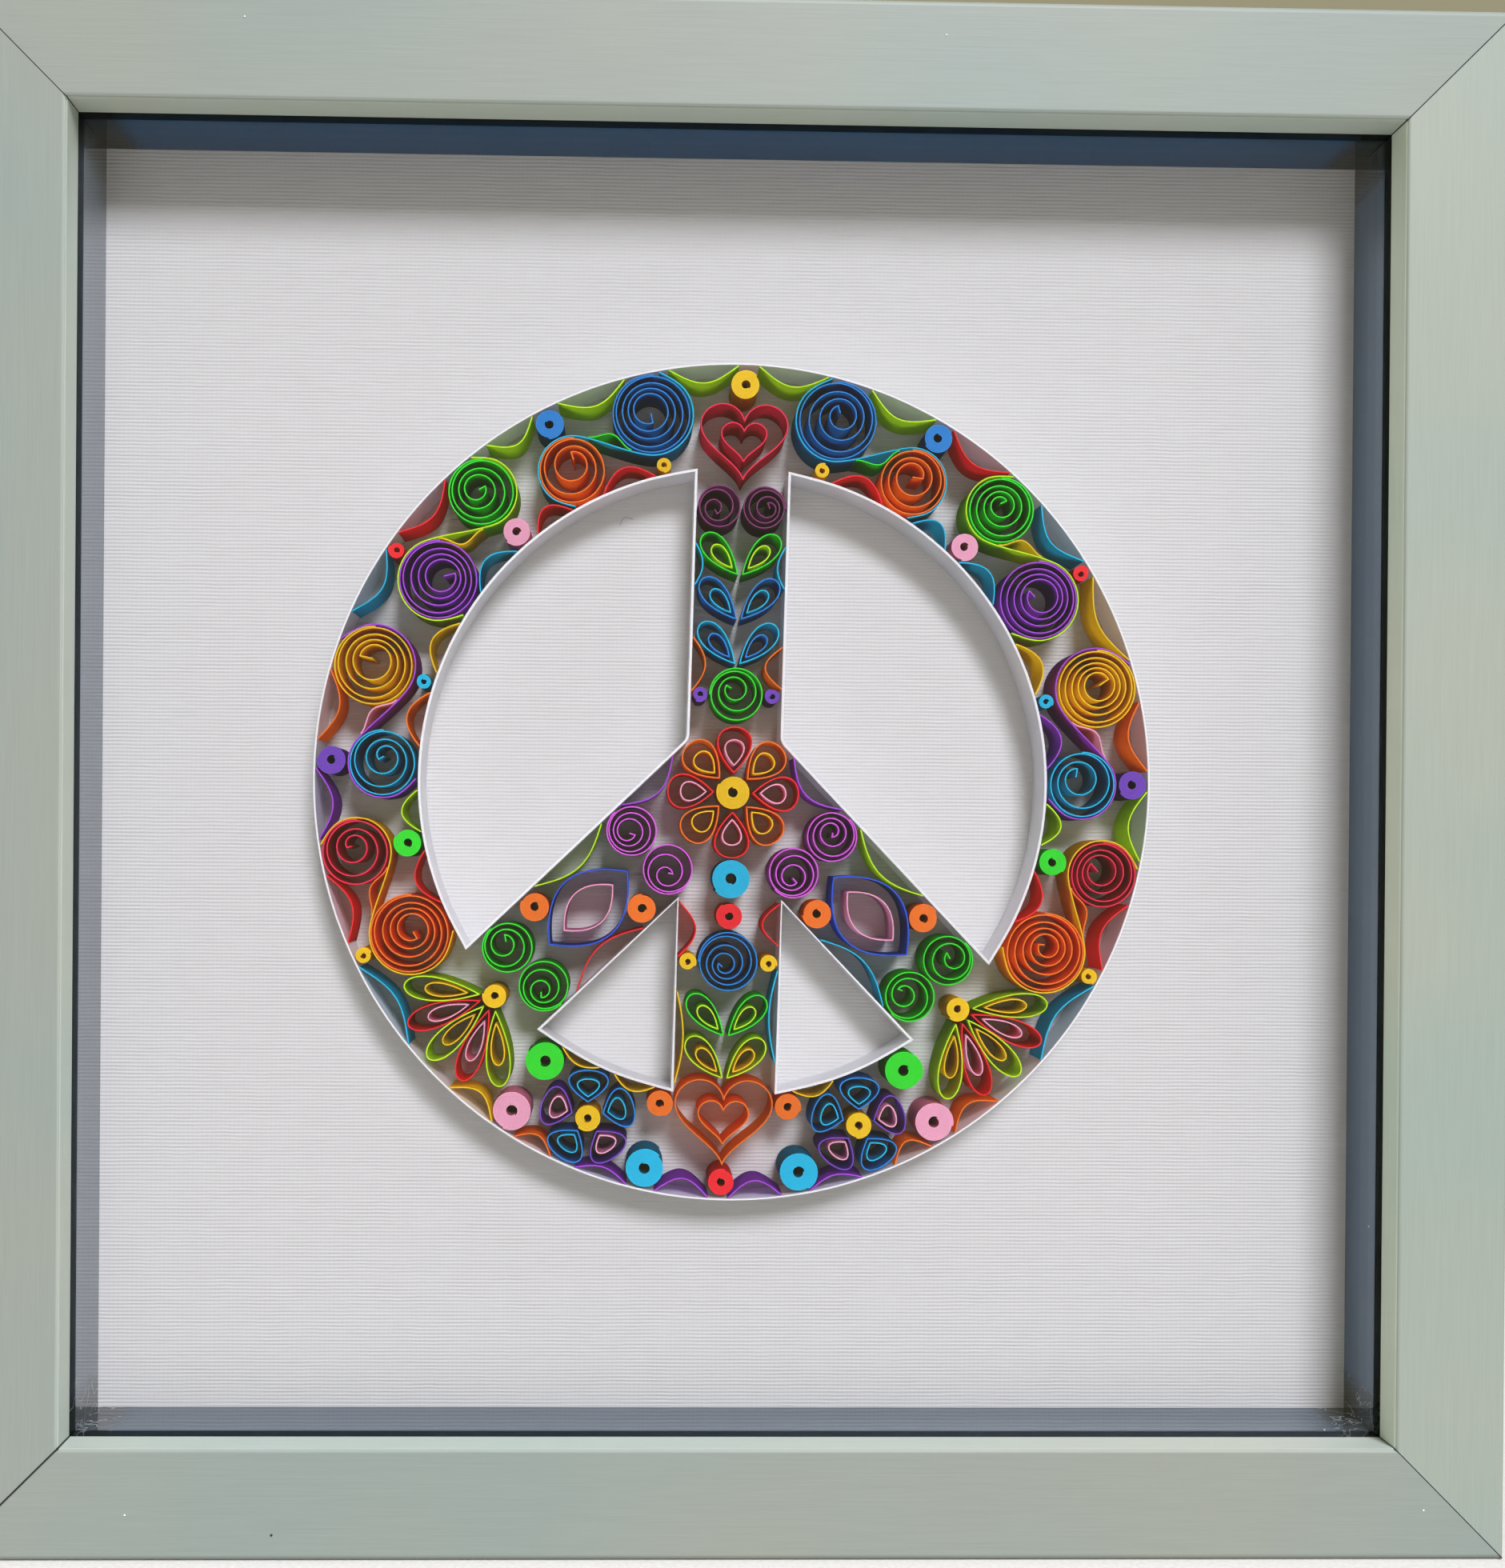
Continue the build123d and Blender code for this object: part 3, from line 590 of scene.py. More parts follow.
def area(loop: np.ndarray) -> float:
    """Signed area of a closed loop of complex points, positive counter-clockwise."""
    return float(0.5 * np.sum(np.conj(loop) * np.roll(loop, -1)).imag)


def walked(path: np.ndarray) -> np.ndarray:
    """Distance from a path's first point to each of its points, along the path."""
    return np.concatenate([[0.0], np.cumsum(np.abs(np.diff(path)))])


def at_distances(path: np.ndarray, distances: np.ndarray) -> np.ndarray:
    """Find the points that lie at given distances along a path."""
    known = walked(path)
    return np.interp(distances, known, path.real) + 1j * np.interp(distances, known, path.imag)


def centreline(loops: list[np.ndarray]) -> tuple[np.ndarray, bool, float]:
    """Find the path that a ribbon's two sides run along.

    Args:
        loops: the outlines of the ribbon's front face, the outer one first.

    Returns:
        The path, whether it is closed, and the ribbon's thickness.
    """
    outer = loops[0]
    if len(loops) > 1:
        inner = loops[1][::-1]
        gaps = [np.abs(outer - np.roll(inner, shift)).sum() for shift in range(len(inner))]
        inner = np.roll(inner, int(np.argmin(gaps)))
        path = (outer + inner) / 2
        return path, True, float(np.abs(outer - inner).min())
    half = len(outer) // 2
    best, least = 0, math.inf
    for shift in range(half):
        turned = np.roll(outer, -shift)
        total = float(np.abs(turned[:half] - turned[half:][::-1]).sum())
        if total < least:
            best, least = shift, total
    turned = np.roll(outer, -best)
    sides = np.stack([turned[:half], turned[half:][::-1]])
    return sides.mean(0), False, float(np.abs(sides[0] - sides[1]).min())


def fitted(path: np.ndarray, columns: np.ndarray, shifts: int) -> tuple[np.ndarray, float]:
    """Fit a form to a path by least squares in complex numbers, path = columns @ factors.

    Args:
        path: the points of the facets.
        columns: the form's columns at the same points.
        shifts: how many starting points to try along the path.

    Returns:
        The factors of the best fit and its largest distance from the path.
    """
    best, least = np.zeros(columns.shape[1], complex), math.inf
    for shift in range(shifts):
        turned = np.roll(path, -shift)
        factors = np.linalg.lstsq(columns, turned, rcond=None)[0]
        off = float(np.abs(columns @ factors - turned).max())
        if off < least:
            best, least = factors, off
    return best, least


def petal_columns(t: np.ndarray) -> np.ndarray:
    """Teardrop: tip, length (1 - cos t) / 2 and width sin t sin(t / 2)."""
    return np.stack([np.ones_like(t), (1 - np.cos(t)) / 2, 1j * np.sin(t) * np.sin(t / 2)], 1)


def marquise_columns(t: np.ndarray) -> np.ndarray:
    """Eye: middle, length -cos t and width sin t |sin t|."""
    return np.stack([np.ones_like(t), -np.cos(t), 1j * np.sin(t) * np.abs(np.sin(t))], 1)


def heart_columns(t: np.ndarray) -> np.ndarray:
    """Heart: middle, height of four cosine waves from its point, and width sin cubed."""
    turned = t + math.pi
    height = sum(
        weight * np.cos(number * turned) for number, weight in enumerate((13, -5, -2, -1), 1)
    )
    return np.stack([np.ones_like(t), height, 1j * np.sin(turned) ** 3], 1)


CLOSED_FORMS = {
    Form.PETAL: petal_columns,
    Form.MARQUISE: marquise_columns,
    Form.HEART: heart_columns,
}


@dataclass(frozen=True)
class PaperPath:
    """The path a strip stands along, as complex points x + iz."""

    points: np.ndarray
    closed: bool
    thickness: float
    bevel: float = 0.05 * MM


@dataclass
class CoilWinder:
    """Winds loose and tight coils as the quiller's needle does."""

    random: np.random.Generator
    turn_steps: int = 40
    thickness: float = 0.26 * MM
    pitch: float = 0.95 * MM
    windings: tuple[float, float] = (0.3, 0.54)
    least_turns: float = 1.3
    cores: tuple[float, float] = (0.24, 0.4)
    slackening: float = 0.9
    slip: float = 0.75
    slip_angles: tuple[float, float] = (-1.2, 1.2)
    fold_angles: tuple[float, float] = (1.3, 2.0)
    fold_lengths: tuple[float, float] = (0.55, 0.85)
    fold_steps: int = 5
    nearly_whole: float = 2 * math.pi - 0.3
    tight_pitch: float = 1.1
    tight_bevel: float = 0.03 * MM
    tight_turns: float = 1.5
    tight_steps: int = 24

    def loose(self, path: np.ndarray, thickness: float) -> PaperPath:
        """Wind a smooth loose coil over the CAD node's faceted one.

        The radius falls by one thickness over the closing turn and from there to the
        core, r = R - t - (R - core) share^slackening. The inner turns slip towards the
        seam, and the inner end keeps the straight fold that the tool's slot gave it.

        Args:
            path: the faceted path, whose outer end is the closed one.
            thickness: the CAD strip's thickness.

        Returns:
            The wound path.
        """
        spread = [abs(path[0] - path.mean()), abs(path[-1] - path.mean())]
        if spread[1] > spread[0]:
            path = path[::-1]
        centre, radius = self.circle(path)
        angles = np.unwrap(np.angle(path - centre))
        hand = 1.0 if angles[-1] > angles[0] else -1.0
        outer = radius + 0.5 * (thickness - self.thickness)
        wanted = outer / self.pitch * self.random.uniform(*self.windings)
        turns = 1 + max(self.least_turns, wanted)
        core = outer * self.random.uniform(*self.cores)
        turn = np.linspace(0, turns, int(turns * self.turn_steps))
        inner = np.maximum(turn - 1, 0) / (turns - 1)
        fall = self.thickness * np.minimum(turn, 1) + (outer - core) * inner**self.slackening
        angle = angles[0] + hand * 2 * math.pi * turn
        seam = np.exp(1j * (angles[0] + self.random.uniform(*self.slip_angles)))
        slip = self.slip * (outer - core) / (turns - 1) * inner
        spiral = centre + seam * slip + (outer - fall) * np.exp(1j * angle)
        heading = (spiral[-1] - spiral[-2]) / abs(spiral[-1] - spiral[-2])
        fold = heading * np.exp(1j * hand * self.random.uniform(*self.fold_angles))
        length = core * self.random.uniform(*self.fold_lengths)
        shares = np.arange(1, self.fold_steps + 1) / self.fold_steps
        tab = spiral[-1] + fold * length * shares
        return PaperPath(np.concatenate([spiral, tab]), False, self.thickness)

    def circle(self, path: np.ndarray) -> tuple[complex, float]:
        """Fit a circle through the first turn of a coil.

        Args:
            path: the facets' corners from the outer end.

        Returns:
            The circle's centre, and the distance of the outer end from it.
        """
        turning = np.abs(np.cumsum(np.angle(np.diff(path)[1:] / np.diff(path)[:-1])))
        ring = path[: int(np.searchsorted(turning, self.nearly_whole)) + 2]
        matrix = np.stack([ring.real, ring.imag, np.ones(len(ring))], 1)
        found = np.linalg.lstsq(matrix, np.abs(ring) ** 2, rcond=None)[0]
        centre = complex(found[0] / 2, found[1] / 2)
        return centre, float(abs(path[0] - centre))

    def tight(self, loops: list[np.ndarray]) -> PaperPath:
        """Wind a tight coil, r = R - t turn, down to the hole the needle left.

        Args:
            loops: outer outline and hole of the CAD node's solid.

        Returns:
            The wound path.
        """
        centre = complex(loops[0].mean())
        radius = float(np.abs(loops[0] - centre).mean())
        hole = float(np.abs(loops[1] - centre).mean())
        pitch = self.thickness * self.tight_pitch
        outer = radius - self.thickness / 2
        turns = max(self.tight_turns, (outer - hole - self.thickness / 2) / pitch)
        turn = np.linspace(0, turns, int(turns * self.tight_steps))
        start = self.random.uniform(0, 2 * math.pi)
        spiral = (outer - pitch * turn) * np.exp(1j * (start + 2 * math.pi * turn))
        return PaperPath(centre + spiral, False, self.thickness, self.tight_bevel)


@dataclass(frozen=True)
class StripSmoother:
    """Turns the CAD strips' facets back into the smooth bends of paper."""

    steps: int = 8
    sharp: float = math.radians(40)
    form_steps: int = 72
    form_error: float = 0.3 * MM
    ring_steps: int = 360

    def form(self, path: np.ndarray, form: Form, thickness: float) -> PaperPath:
        """Draw a pinched form smooth, where the facets' least-squares fit puts it.

        Args:
            path: the facets' corners.
            form: which closed form it is.
            thickness: the strip's thickness.

        Returns:
            The smooth path.
        """
        columns = CLOSED_FORMS[form]
        facets = np.arange(len(path)) * 2 * math.pi / len(path)
        factors, off = fitted(path, columns(facets), len(path))
        if off > self.form_error:
            LOG.warning("%s off its form by %.3f mm", form.value, off / MM)
        t = np.arange(self.form_steps) * 2 * math.pi / self.form_steps
        return PaperPath(columns(t) @ factors, True, thickness)

    def ring(self, path: np.ndarray, thickness: float) -> PaperPath:
        """Draw the ring as a true circle."""
        centre = complex(path.mean())
        radius = float(np.abs(path - centre).mean())
        t = np.arange(self.ring_steps) * 2 * math.pi / self.ring_steps
        return PaperPath(centre + radius * np.exp(1j * t), True, thickness)

    def bend(self, path: np.ndarray, closed: bool, thickness: float) -> PaperPath:
        """Round a faceted path by a quadratic B-spline, and keep its sharp corners.

        Each facet corner is the control point of a curve from the middle of one facet to
        the middle of the next, ((1-s)^2 a + 2 s (1-s) corner + s^2 b).

        Args:
            path: the facets' corners.
            closed: whether the path joins up.
            thickness: the strip's thickness.

        Returns:
            The smooth path.
        """
        before, after = np.roll(path, 1), np.roll(path, -1)
        turned = np.abs(np.angle((after - path) / (path - before)))
        kept = turned > self.sharp
        if not closed:
            kept[0] = kept[-1] = True
        start = np.where(np.roll(kept, 1), before, (before + path) / 2)
        end = np.where(np.roll(kept, -1), after, (path + after) / 2)
        pieces = []
        s = (np.arange(self.steps) + 0.5) / self.steps
        for index, corner in enumerate(path):
            if kept[index]:
                pieces.append(np.array([corner]))
            else:
                a, b = start[index], end[index]
                pieces.append((1 - s) ** 2 * a + 2 * s * (1 - s) * corner + s**2 * b)
        return PaperPath(np.concatenate(pieces), closed, thickness)


def skinned(rings: int, width: int, closed: bool) -> list[list[int]]:
    """Skin rings of corners with faces.

    Args:
        rings: how many rings there are.
        width: how many corners a ring has.
        closed: whether the last ring joins the first, or both ends get a face.

    Returns:
        The corners of each face, ring by ring, and the two ends last.
    """
    last = rings if closed else rings - 1
    i, j = (part.ravel() for part in np.indices((last, width)))
    after, beside = (i + 1) % rings * width, (j + 1) % width
    i *= width
    faces = np.stack([i + j, after + j, after + beside, i + beside], 1).tolist()
    if not closed:
        faces.append(list(range(width)))
        faces.append(list(range(rings * width - 1, (rings - 1) * width - 1, -1)))
    return faces


def joined(name: str, bodies: list[tuple[np.ndarray, list[list[int]]]]) -> Mesh:
    """Join closed bodies to one mesh.

    Args:
        name: the mesh's name.
        bodies: for each body its rings of points, and its faces.

    Returns:
        The mesh.
    """
    points = [grid.reshape(-1, 3) for grid, _ in bodies]
    starts = np.cumsum([0] + [len(part) for part in points]).tolist()
    faces = [
        [start + corner for corner in face]
        for start, (_, own) in zip(starts, bodies)
        for face in own
    ]
    mesh = bpy.data.meshes.new(name)
    mesh.from_pydata(np.concatenate(points).tolist(), [], faces)
    return mesh


def added(name: str, mesh: Mesh, finish: QuillingPaper | PlainFinish) -> Object:
    """Add a piece of the picture, which rides on its one body.

    Args:
        name: the piece's name.
        mesh: its mesh.
        finish: its finish.

    Returns:
        The new object.
    """
    mesh.materials.append(finish.material())
    piece = bpy.data.objects.new(name, mesh)
    bpy.context.scene.collection.objects.link(piece)
    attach(piece, "root")
    LOG.info("%s: %d faces", name, len(mesh.polygons))
    return piece


@dataclass
class StripBuilder:
    """Stands strips of paper on the card along their paths, as one mesh per node."""

    random: np.random.Generator
    uneven: float = 0.18 * MM
    shades: tuple[float, float] = (0.93, 1.06)
    widest_mitre: float = 3.0
    crease: float = math.radians(35)

    def mesh(self, name: str, paths: list[PaperPath], back: float, front: float) -> Mesh:
        """Build the strips of one node.

        Args:
            name: the mesh's name.
            paths: where the strips stand.
            back: y of the card.
            front: y of the strips' front edges.

        Returns:
            The mesh, with its cut edges marked and a shade for each strip.
        """
        bodies, cut, shade = [], [], []
        for path in paths:
            low = front + self.random.uniform(0, self.uneven)
            grid = self.strip(path, back, low)
            faces = skinned(*grid.shape[:2], path.closed)
            bodies.append((grid, faces))
            width = grid.shape[1]
            ends = 0 if path.closed else 2
            cut += [float(0 < place % width < width - 2) for place in range(len(faces) - ends)]
            cut += [0.0] * ends
            shade += [self.random.uniform(*self.shades)] * len(faces)
        mesh = joined(name, bodies)
        for label, values in (("cut_edge", cut), ("shade", shade)):
            attribute = mesh.attributes.new(label, "FLOAT", "FACE")
            attribute.data.foreach_set("value", np.array(values, np.float32))
        mesh.shade_smooth()
        mesh.set_sharp_from_angle(angle=self.crease)
        mesh.update()
        return mesh

    def strip(self, path: PaperPath, back: float, front: float) -> np.ndarray:
        """Carry the strip's section along its path.

        The section runs up one side, over the bevelled cut edge and down the other; at
        each point it spreads along the mitre (n1 + n2) / (1 + n1 . n2).

        Args:
            path: where the strip stands.
            back: y of its foot.
            front: y of its cut edge.

        Returns:
            The sections, as an array of section, corner and coordinate.
        """
        points = path.points
        into = points - np.roll(points, 1)
        away = np.roll(points, -1) - points
        if not path.closed:
            into[0] = away[0]
            away[-1] = into[-1]
        into, away = into / np.abs(into), away / np.abs(away)
        spread = np.maximum(1 + (into * np.conj(away)).real, 2 / self.widest_mitre)
        normal = 1j * (into + away) / spread
        half = path.thickness / 2
        across = np.array([-half, -half, -half + path.bevel, half - path.bevel, half, half])
        shallow = front + path.bevel
        depth = np.array([back, shallow, front, front, shallow, back])
        flat = points[:, None] + normal[:, None] * across[None, :]
        return np.stack([flat.real, np.broadcast_to(depth, flat.shape), flat.imag], 2)


@dataclass
class Clearance:
    """Tells whether a path keeps its distance from the paths that already stand."""

    paths: list[PaperPath]
    tree: KDTree = field(init=False)

    def __post_init__(self) -> None:
        """Put the points of the paths into a search tree."""
        points = np.concatenate([path.points for path in self.paths]).tolist()
        self.tree = KDTree(len(points))
        for index, point in enumerate(points):
            self.tree.insert((point.real, point.imag, 0.0), index)
        self.tree.balance()

    def holds(self, points: np.ndarray, room: float) -> bool:
        """Tell whether every point lies farther than room from the paths."""
        return all(self.tree.find((p.real, p.imag, 0.0))[2] > room for p in points.tolist())


@dataclass
class CrescentFinder:
    """Finds room for crescents, strips that bow off a white wall and come back to it.

    A crescent follows its wall at a distance of gap + bulge sin (pi share).
    """

    walls: dict[str, list[PaperPath]]
    others: list[PaperPath]
    thickness: float
    step: float = 0.4 * MM
    stride: int = 4
    sharp: float = 0.2
    reaches: tuple[float, ...] = (9.0 * MM, 7.0 * MM, 5.5 * MM, 4.0 * MM)
    bulges: tuple[float, ...] = (3.2 * MM, 2.5 * MM, 1.9 * MM, 1.4 * MM)
    room: float = 0.45 * MM
    between: float = 1.2 * MM

    def found(self) -> list[PaperPath]:
        """Search every wall, and keep the largest crescents that leave each other room.

        Returns:
            The crescents' paths.
        """
        candidates = []
        for name, paths in self.walls.items():
            outward = name != "ring_strip"
            for path in paths:
                blocked = [other for other in self.others if other is not path]
                candidates += self.along(path, outward, Clearance(blocked))
        candidates.sort(key=lambda candidate: -candidate[0])
        kept: list[np.ndarray] = []
        for _, points in candidates:
            if all(np.abs(points[:, None] - other[None]).min() > self.between for other in kept):
                kept.append(points)
        return [PaperPath(points, False, self.thickness) for points in kept]

    def along(
        self, wall: PaperPath, outward: bool, clearance: Clearance
    ) -> list[tuple[float, np.ndarray]]:
        """List the crescents that have room along one wall.

        Args:
            wall: the wall's path.
            outward: whether they bow away from the wall's inside.
            clearance: the room beside everything else.

        Returns:
            For each crescent its size, which is reach times bulge, and its points.
        """
        closed = np.append(wall.points, wall.points[0])
        length = walked(closed)[-1]
        count = int(length / self.step)
        points = at_distances(closed, np.linspace(0, length, count, endpoint=False))
        heading = np.roll(points, -1) - np.roll(points, 1)
        heading = heading / np.abs(heading)
        side = -1j if outward == (area(points) > 0) else 1j
        gap = (wall.thickness + self.thickness) / 2
        found = []
        for middle, reach in product(range(0, count, self.stride), self.reaches):
            half = int(reach / self.step)
            part = np.arange(middle - half, middle + half + 1) % count
            if np.abs(np.angle(heading[part][1:] / heading[part][:-1])).max() > self.sharp:
                continue
            stand_off = np.sin(math.pi * np.linspace(0, 1, len(part)))
            for bulge in self.bulges:
                moved = points[part] + side * heading[part] * (gap + bulge * stand_off)
                if clearance.holds(moved, self.room):
                    found.append((reach * bulge, moved))
                    break
        return found


@dataclass(frozen=True)
class StrandFinder:
    """Finds room for a strand that leaves a scroll's straight stretch and comes back.

    It stands off by bulge sin^2 (pi share) on the side with more room.
    """

    steps: int = 400
    end_steps: int = 60
    soft_steps: int = 15
    reaches: tuple[float, float, float] = (8.0 * MM, 3.0 * MM, -0.5 * MM)
    bulges: tuple[float, float, float] = (2.4 * MM, 0.6 * MM, -0.2 * MM)
    room: float = 0.42 * MM

    def beside(self, path: PaperPath, clearance: Clearance) -> list[PaperPath]:
        """Draw the largest strand that has room beside one scroll.

        Args:
            path: the scroll.
            clearance: the room beside all the other strips.

        Returns:
            The strand, or nothing where there is no room for one.
        """
        even = np.linspace(0, walked(path.points)[-1], self.steps)
        points = at_distances(path.points, even)
        heading = np.gradient(points)
        heading = heading / np.abs(heading)
        turning = np.gradient(np.unwrap(np.angle(heading)))
        soft = np.convolve(turning, np.ones(self.soft_steps) / self.soft_steps, mode="same")
        inner = soft[self.end_steps : -self.end_steps]
        middle = self.end_steps + int(np.argmin(np.abs(inner)))
        largest, best = 0.0, []
        for reach in np.arange(*self.reaches):
            count = int(reach / even[1])
            part = slice(max(middle - count, 1), min(middle + count, self.steps - 1))
            stand_off = np.sin(math.pi * np.linspace(0, 1, len(points[part]))) ** 2
            normal = 1j * heading[part]
            for side, bulge in product((1, -1), np.arange(*self.bulges)):
                moved = points[part] + side * normal * (path.thickness + bulge * stand_off)
                if bulge * reach > largest and clearance.holds(moved, self.room):
                    largest, best = bulge * reach, [PaperPath(moved, False, path.thickness)]
        return best


@dataclass(frozen=True)
class QuilledPaper:
    """All the strips of paper: the ring, the windows and what is quilled between them."""

    dyes: tuple[tuple[str, str], ...] = (
        ("blue", "#1272bc"),
        ("crimson", "#cc1440"),
        ("green", "#22c420"),
        ("lime", "#b4e410"),
        ("magenta", "#bb4cc0"),
        ("navy", "#1a48c4"),
        ("orange", "#ff7a18"),
        ("pink", "#ffb0d0"),
        ("plum", "#6a2458"),
        ("purple", "#9038bc"),
        ("red", "#f01428"),
        ("teal", "#049fc4"),
        ("violet", "#6236a4"),
        ("yellow", "#ffd000"),
    )
    white: QuillingPaper = QuillingPaper(
        "#f4f4f8", edge_highlight_gain=1.0, edge_highlight_white=0.0, roughness=0.28, gloss=0.5, see_through=0.25
    )
    nested: tuple[tuple[str, str], ...] = (
        ("petals_red", "pink"),
        ("petals_orange", "yellow"),
        ("petals_green", "lime"),
        ("petals_blue", "teal"),
        ("petals_teal", "blue"),
        ("petals_violet", "pink"),
        ("petals_lime", "yellow"),
    )
    beside: tuple[tuple[str, str], ...] = (
        ("scrolls_lime", "yellow"),
        ("scrolls_teal", "green"),
        ("scrolls_purple", "pink"),
        ("scrolls_yellow", "orange"),
    )
    crescent_dyes: tuple[str, ...] = ("yellow", "teal", "red", "lime", "purple", "orange")
    crescent_row: float = 14.0 * MM
    nested_share: float = 0.56
    nested_start: float = 0.16
    nested_least: float = 3.4 * MM

    def build(self) -> None:
        """Build every strip node again, smooth and dyed, and the fine strips beside them."""
        random = np.random.default_rng(SEED)
        winder = CoilWinder(random)
        builder = StripBuilder(random)
        outlines = {
            name: NodeOutline(name) for name in sorted(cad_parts) if self.form_of(name)
        }
        paths = {name: self.paths(outline, winder) for name, outline in outlines.items()}
        for name, outline in outlines.items():
            word = name.rsplit("_", 1)[-1]
            colour = word if word in dict(self.dyes) else "white"
            piece = self.piece(builder, f"{name}_paper", paths[name], outline, colour)
            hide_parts(name)
        for name, dye in self.nested:
            inner = [petal for path in paths[name] for petal in self.nest(path)]
            if inner:
                self.piece(builder, f"{name}_nested", inner, outlines[name], dye)
        for name, dye in self.beside:
            strands = self.strands(paths[name], paths)
            if strands:
                self.piece(builder, f"{name}_strand", strands, outlines[name], dye)
                paths[f"{name}_strand"] = strands
        for dye, group in self.crescents(paths, winder.thickness):
            self.piece(builder, f"crescents_{dye}", group, outlines["ring_strip"], dye)

    def piece(
        self,
        builder: StripBuilder,
        name: str,
        paths: list[PaperPath],
        outline: NodeOutline,
        colour: str,
    ) -> Object:
        """Stand strips of one colour on the card.

        Args:
            builder: makes the mesh.
            name: the piece's name.
            paths: where the strips stand.
            outline: the CAD node whose depths they keep.
            colour: the dye, or white.

        Returns:
            The new object.
        """
        mesh = builder.mesh(name, paths, outline.back, outline.front)
        if colour == "white":
            return added(name, mesh, self.white)
        return added(name, mesh, QuillingPaper(dict(self.dyes)[colour]))

    def nest(self, path: PaperPath) -> list[PaperPath]:
        """Draw a smaller petal inside a wide one, its point just inside the outer point.

        Args:
            path: the outer petal, which starts at its point.

        Returns:
            The inner petal, or nothing where the outer one is too narrow.
        """
        tip = path.points[0]
        along = path.points[len(path.points) // 2] - tip
        across = ((path.points - tip) / (along / abs(along))).imag
        if float(across.max() - across.min()) < self.nested_least:
            return []
        points = tip + self.nested_start * along + self.nested_share * (path.points - tip)
        return [PaperPath(points, True, path.thickness)]

    @staticmethod
    def strands(scrolls: list[PaperPath], paths: dict[str, list[PaperPath]]) -> list[PaperPath]:
        """Draw the strands of one colour's scrolls.

        Args:
            scrolls: the scrolls.
            paths: all the strips that stand, by their nodes.

        Returns:
            The strands that have room.
        """
        found = []
        for scroll in scrolls:
            others = [path for group in paths.values() for path in group if path is not scroll]
            found += StrandFinder().beside(scroll, Clearance(others))
        return found

    def crescents(
        self, paths: dict[str, list[PaperPath]], thickness: float
    ) -> list[tuple[str, list[PaperPath]]]:
        """Draw the crescents and sort them by dye, which changes from row to row.

        Args:
            paths: all the strips that stand, by their nodes.
            thickness: the paper's thickness.

        Returns:
            For each dye its crescents.
        """
        walls = {
            name: group
            for name, group in paths.items()
            if self.form_of(name) in (Form.RING, Form.WINDOW)
        }
        everything = [path for group in paths.values() for path in group]
        by_dye: dict[str, list[PaperPath]] = {}
        for path in CrescentFinder(walls, everything, thickness).found():
            row = int(path.points.mean().imag / self.crescent_row)
            dye = self.crescent_dyes[row % len(self.crescent_dyes)]
            by_dye.setdefault(dye, []).append(path)
        return sorted(by_dye.items())

    @staticmethod
    def form_of(name: str) -> Form | None:
        """Find the form that a node's name begins with or holds."""
        return next((form for form in Form if form.value in name), None)

    def paths(self, outline: NodeOutline, winder: CoilWinder) -> list[PaperPath]:
        """Make the smooth paths of one node's solids.

        Args:
            outline: the outlines of the solids.
            winder: winds the coils.

        Returns:
            A path for each solid.
        """
        form = self.form_of(outline.name)
        if form is Form.TIGHT_COIL:
            return [winder.tight(loops) for loops in outline.solids]
        smoother = StripSmoother()
        found = []
        for path, closed, thickness in map(centreline, outline.solids):
            if form is Form.LOOSE_COIL:
                found.append(winder.loose(path, thickness))
            elif form is Form.RING:
                found.append(smoother.ring(path, thickness))
            elif form in CLOSED_FORMS:
                found.append(smoother.form(path, form, winder.thickness))
            elif form is Form.SCROLL:
                found.append(smoother.bend(path, closed, winder.thickness))
            else:
                found.append(smoother.bend(path, closed, thickness))
        return found


@dataclass(frozen=True)
class FrameDressing:
    """Finishes of the frame's own parts, which stay CAD nodes."""

    # Painted light: each rail's lip and highlight gains, and the right rail's lighter colours,
    # follow how the light falls on that side.
    foils: tuple[SatinFoil, ...] = (
        SatinFoil("top_rail", along_x=True, lip_painted_light_gain=2.5, painted_highlight_gain=1.4),
        SatinFoil("bottom_rail", along_x=True, lip_painted_light_gain=1.45),
        SatinFoil("left_rail", along_x=False, lip_painted_light_gain=2.2, painted_highlight_gain=1.3),
        SatinFoil("right_rail", along_x=False, colour="#7a847b", warm="#81857a", lip_painted_light_gain=3.2),
    )
    # Painted light: one plastic, but each side's colour and index are set to the light and
    # reflection its wall shows.
    spacers: tuple[PolishedSpacer, ...] = (
        PolishedSpacer("spacer_top", "#084c78", ior=1.25),
        PolishedSpacer("spacer_bottom", "#2a4a62", ior=2.1),
        PolishedSpacer("spacer_left", "#5c6b7a", ior=2.9),
        PolishedSpacer("spacer_right", "#3f5f7c", ior=1.9),
    )
    board: PlainFinish = PlainFinish("pressed_hardboard", "#7a5a3c", 0.7, mottle=0.2)
    steel: PlainFinish = PlainFinish("plated_spring_steel", "#9c9c98", 0.35, metallic=1.0)
    glass: FloatGlass = FloatGlass()
    card: LinenCard = LinenCard()

    def dress(self) -> None:
        """Give each visible frame node its finish."""
        made = {foil.rail: foil.material() for foil in self.foils}
        made |= {spacer.side: spacer.material() for spacer in self.spacers}
        made["glass_pane"] = self.glass.material()
        made["linen_card"] = self.card.material()
        made["backing_board"] = self.board.material()
        steel = self.steel.material()
        for name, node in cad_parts.items():
            if node.hide_render:
                continue
            finish = made.get(name, steel)
            node.data.materials.clear()
            node.data.materials.append(finish)
            LOG.info("%s: %s", name, finish.name)


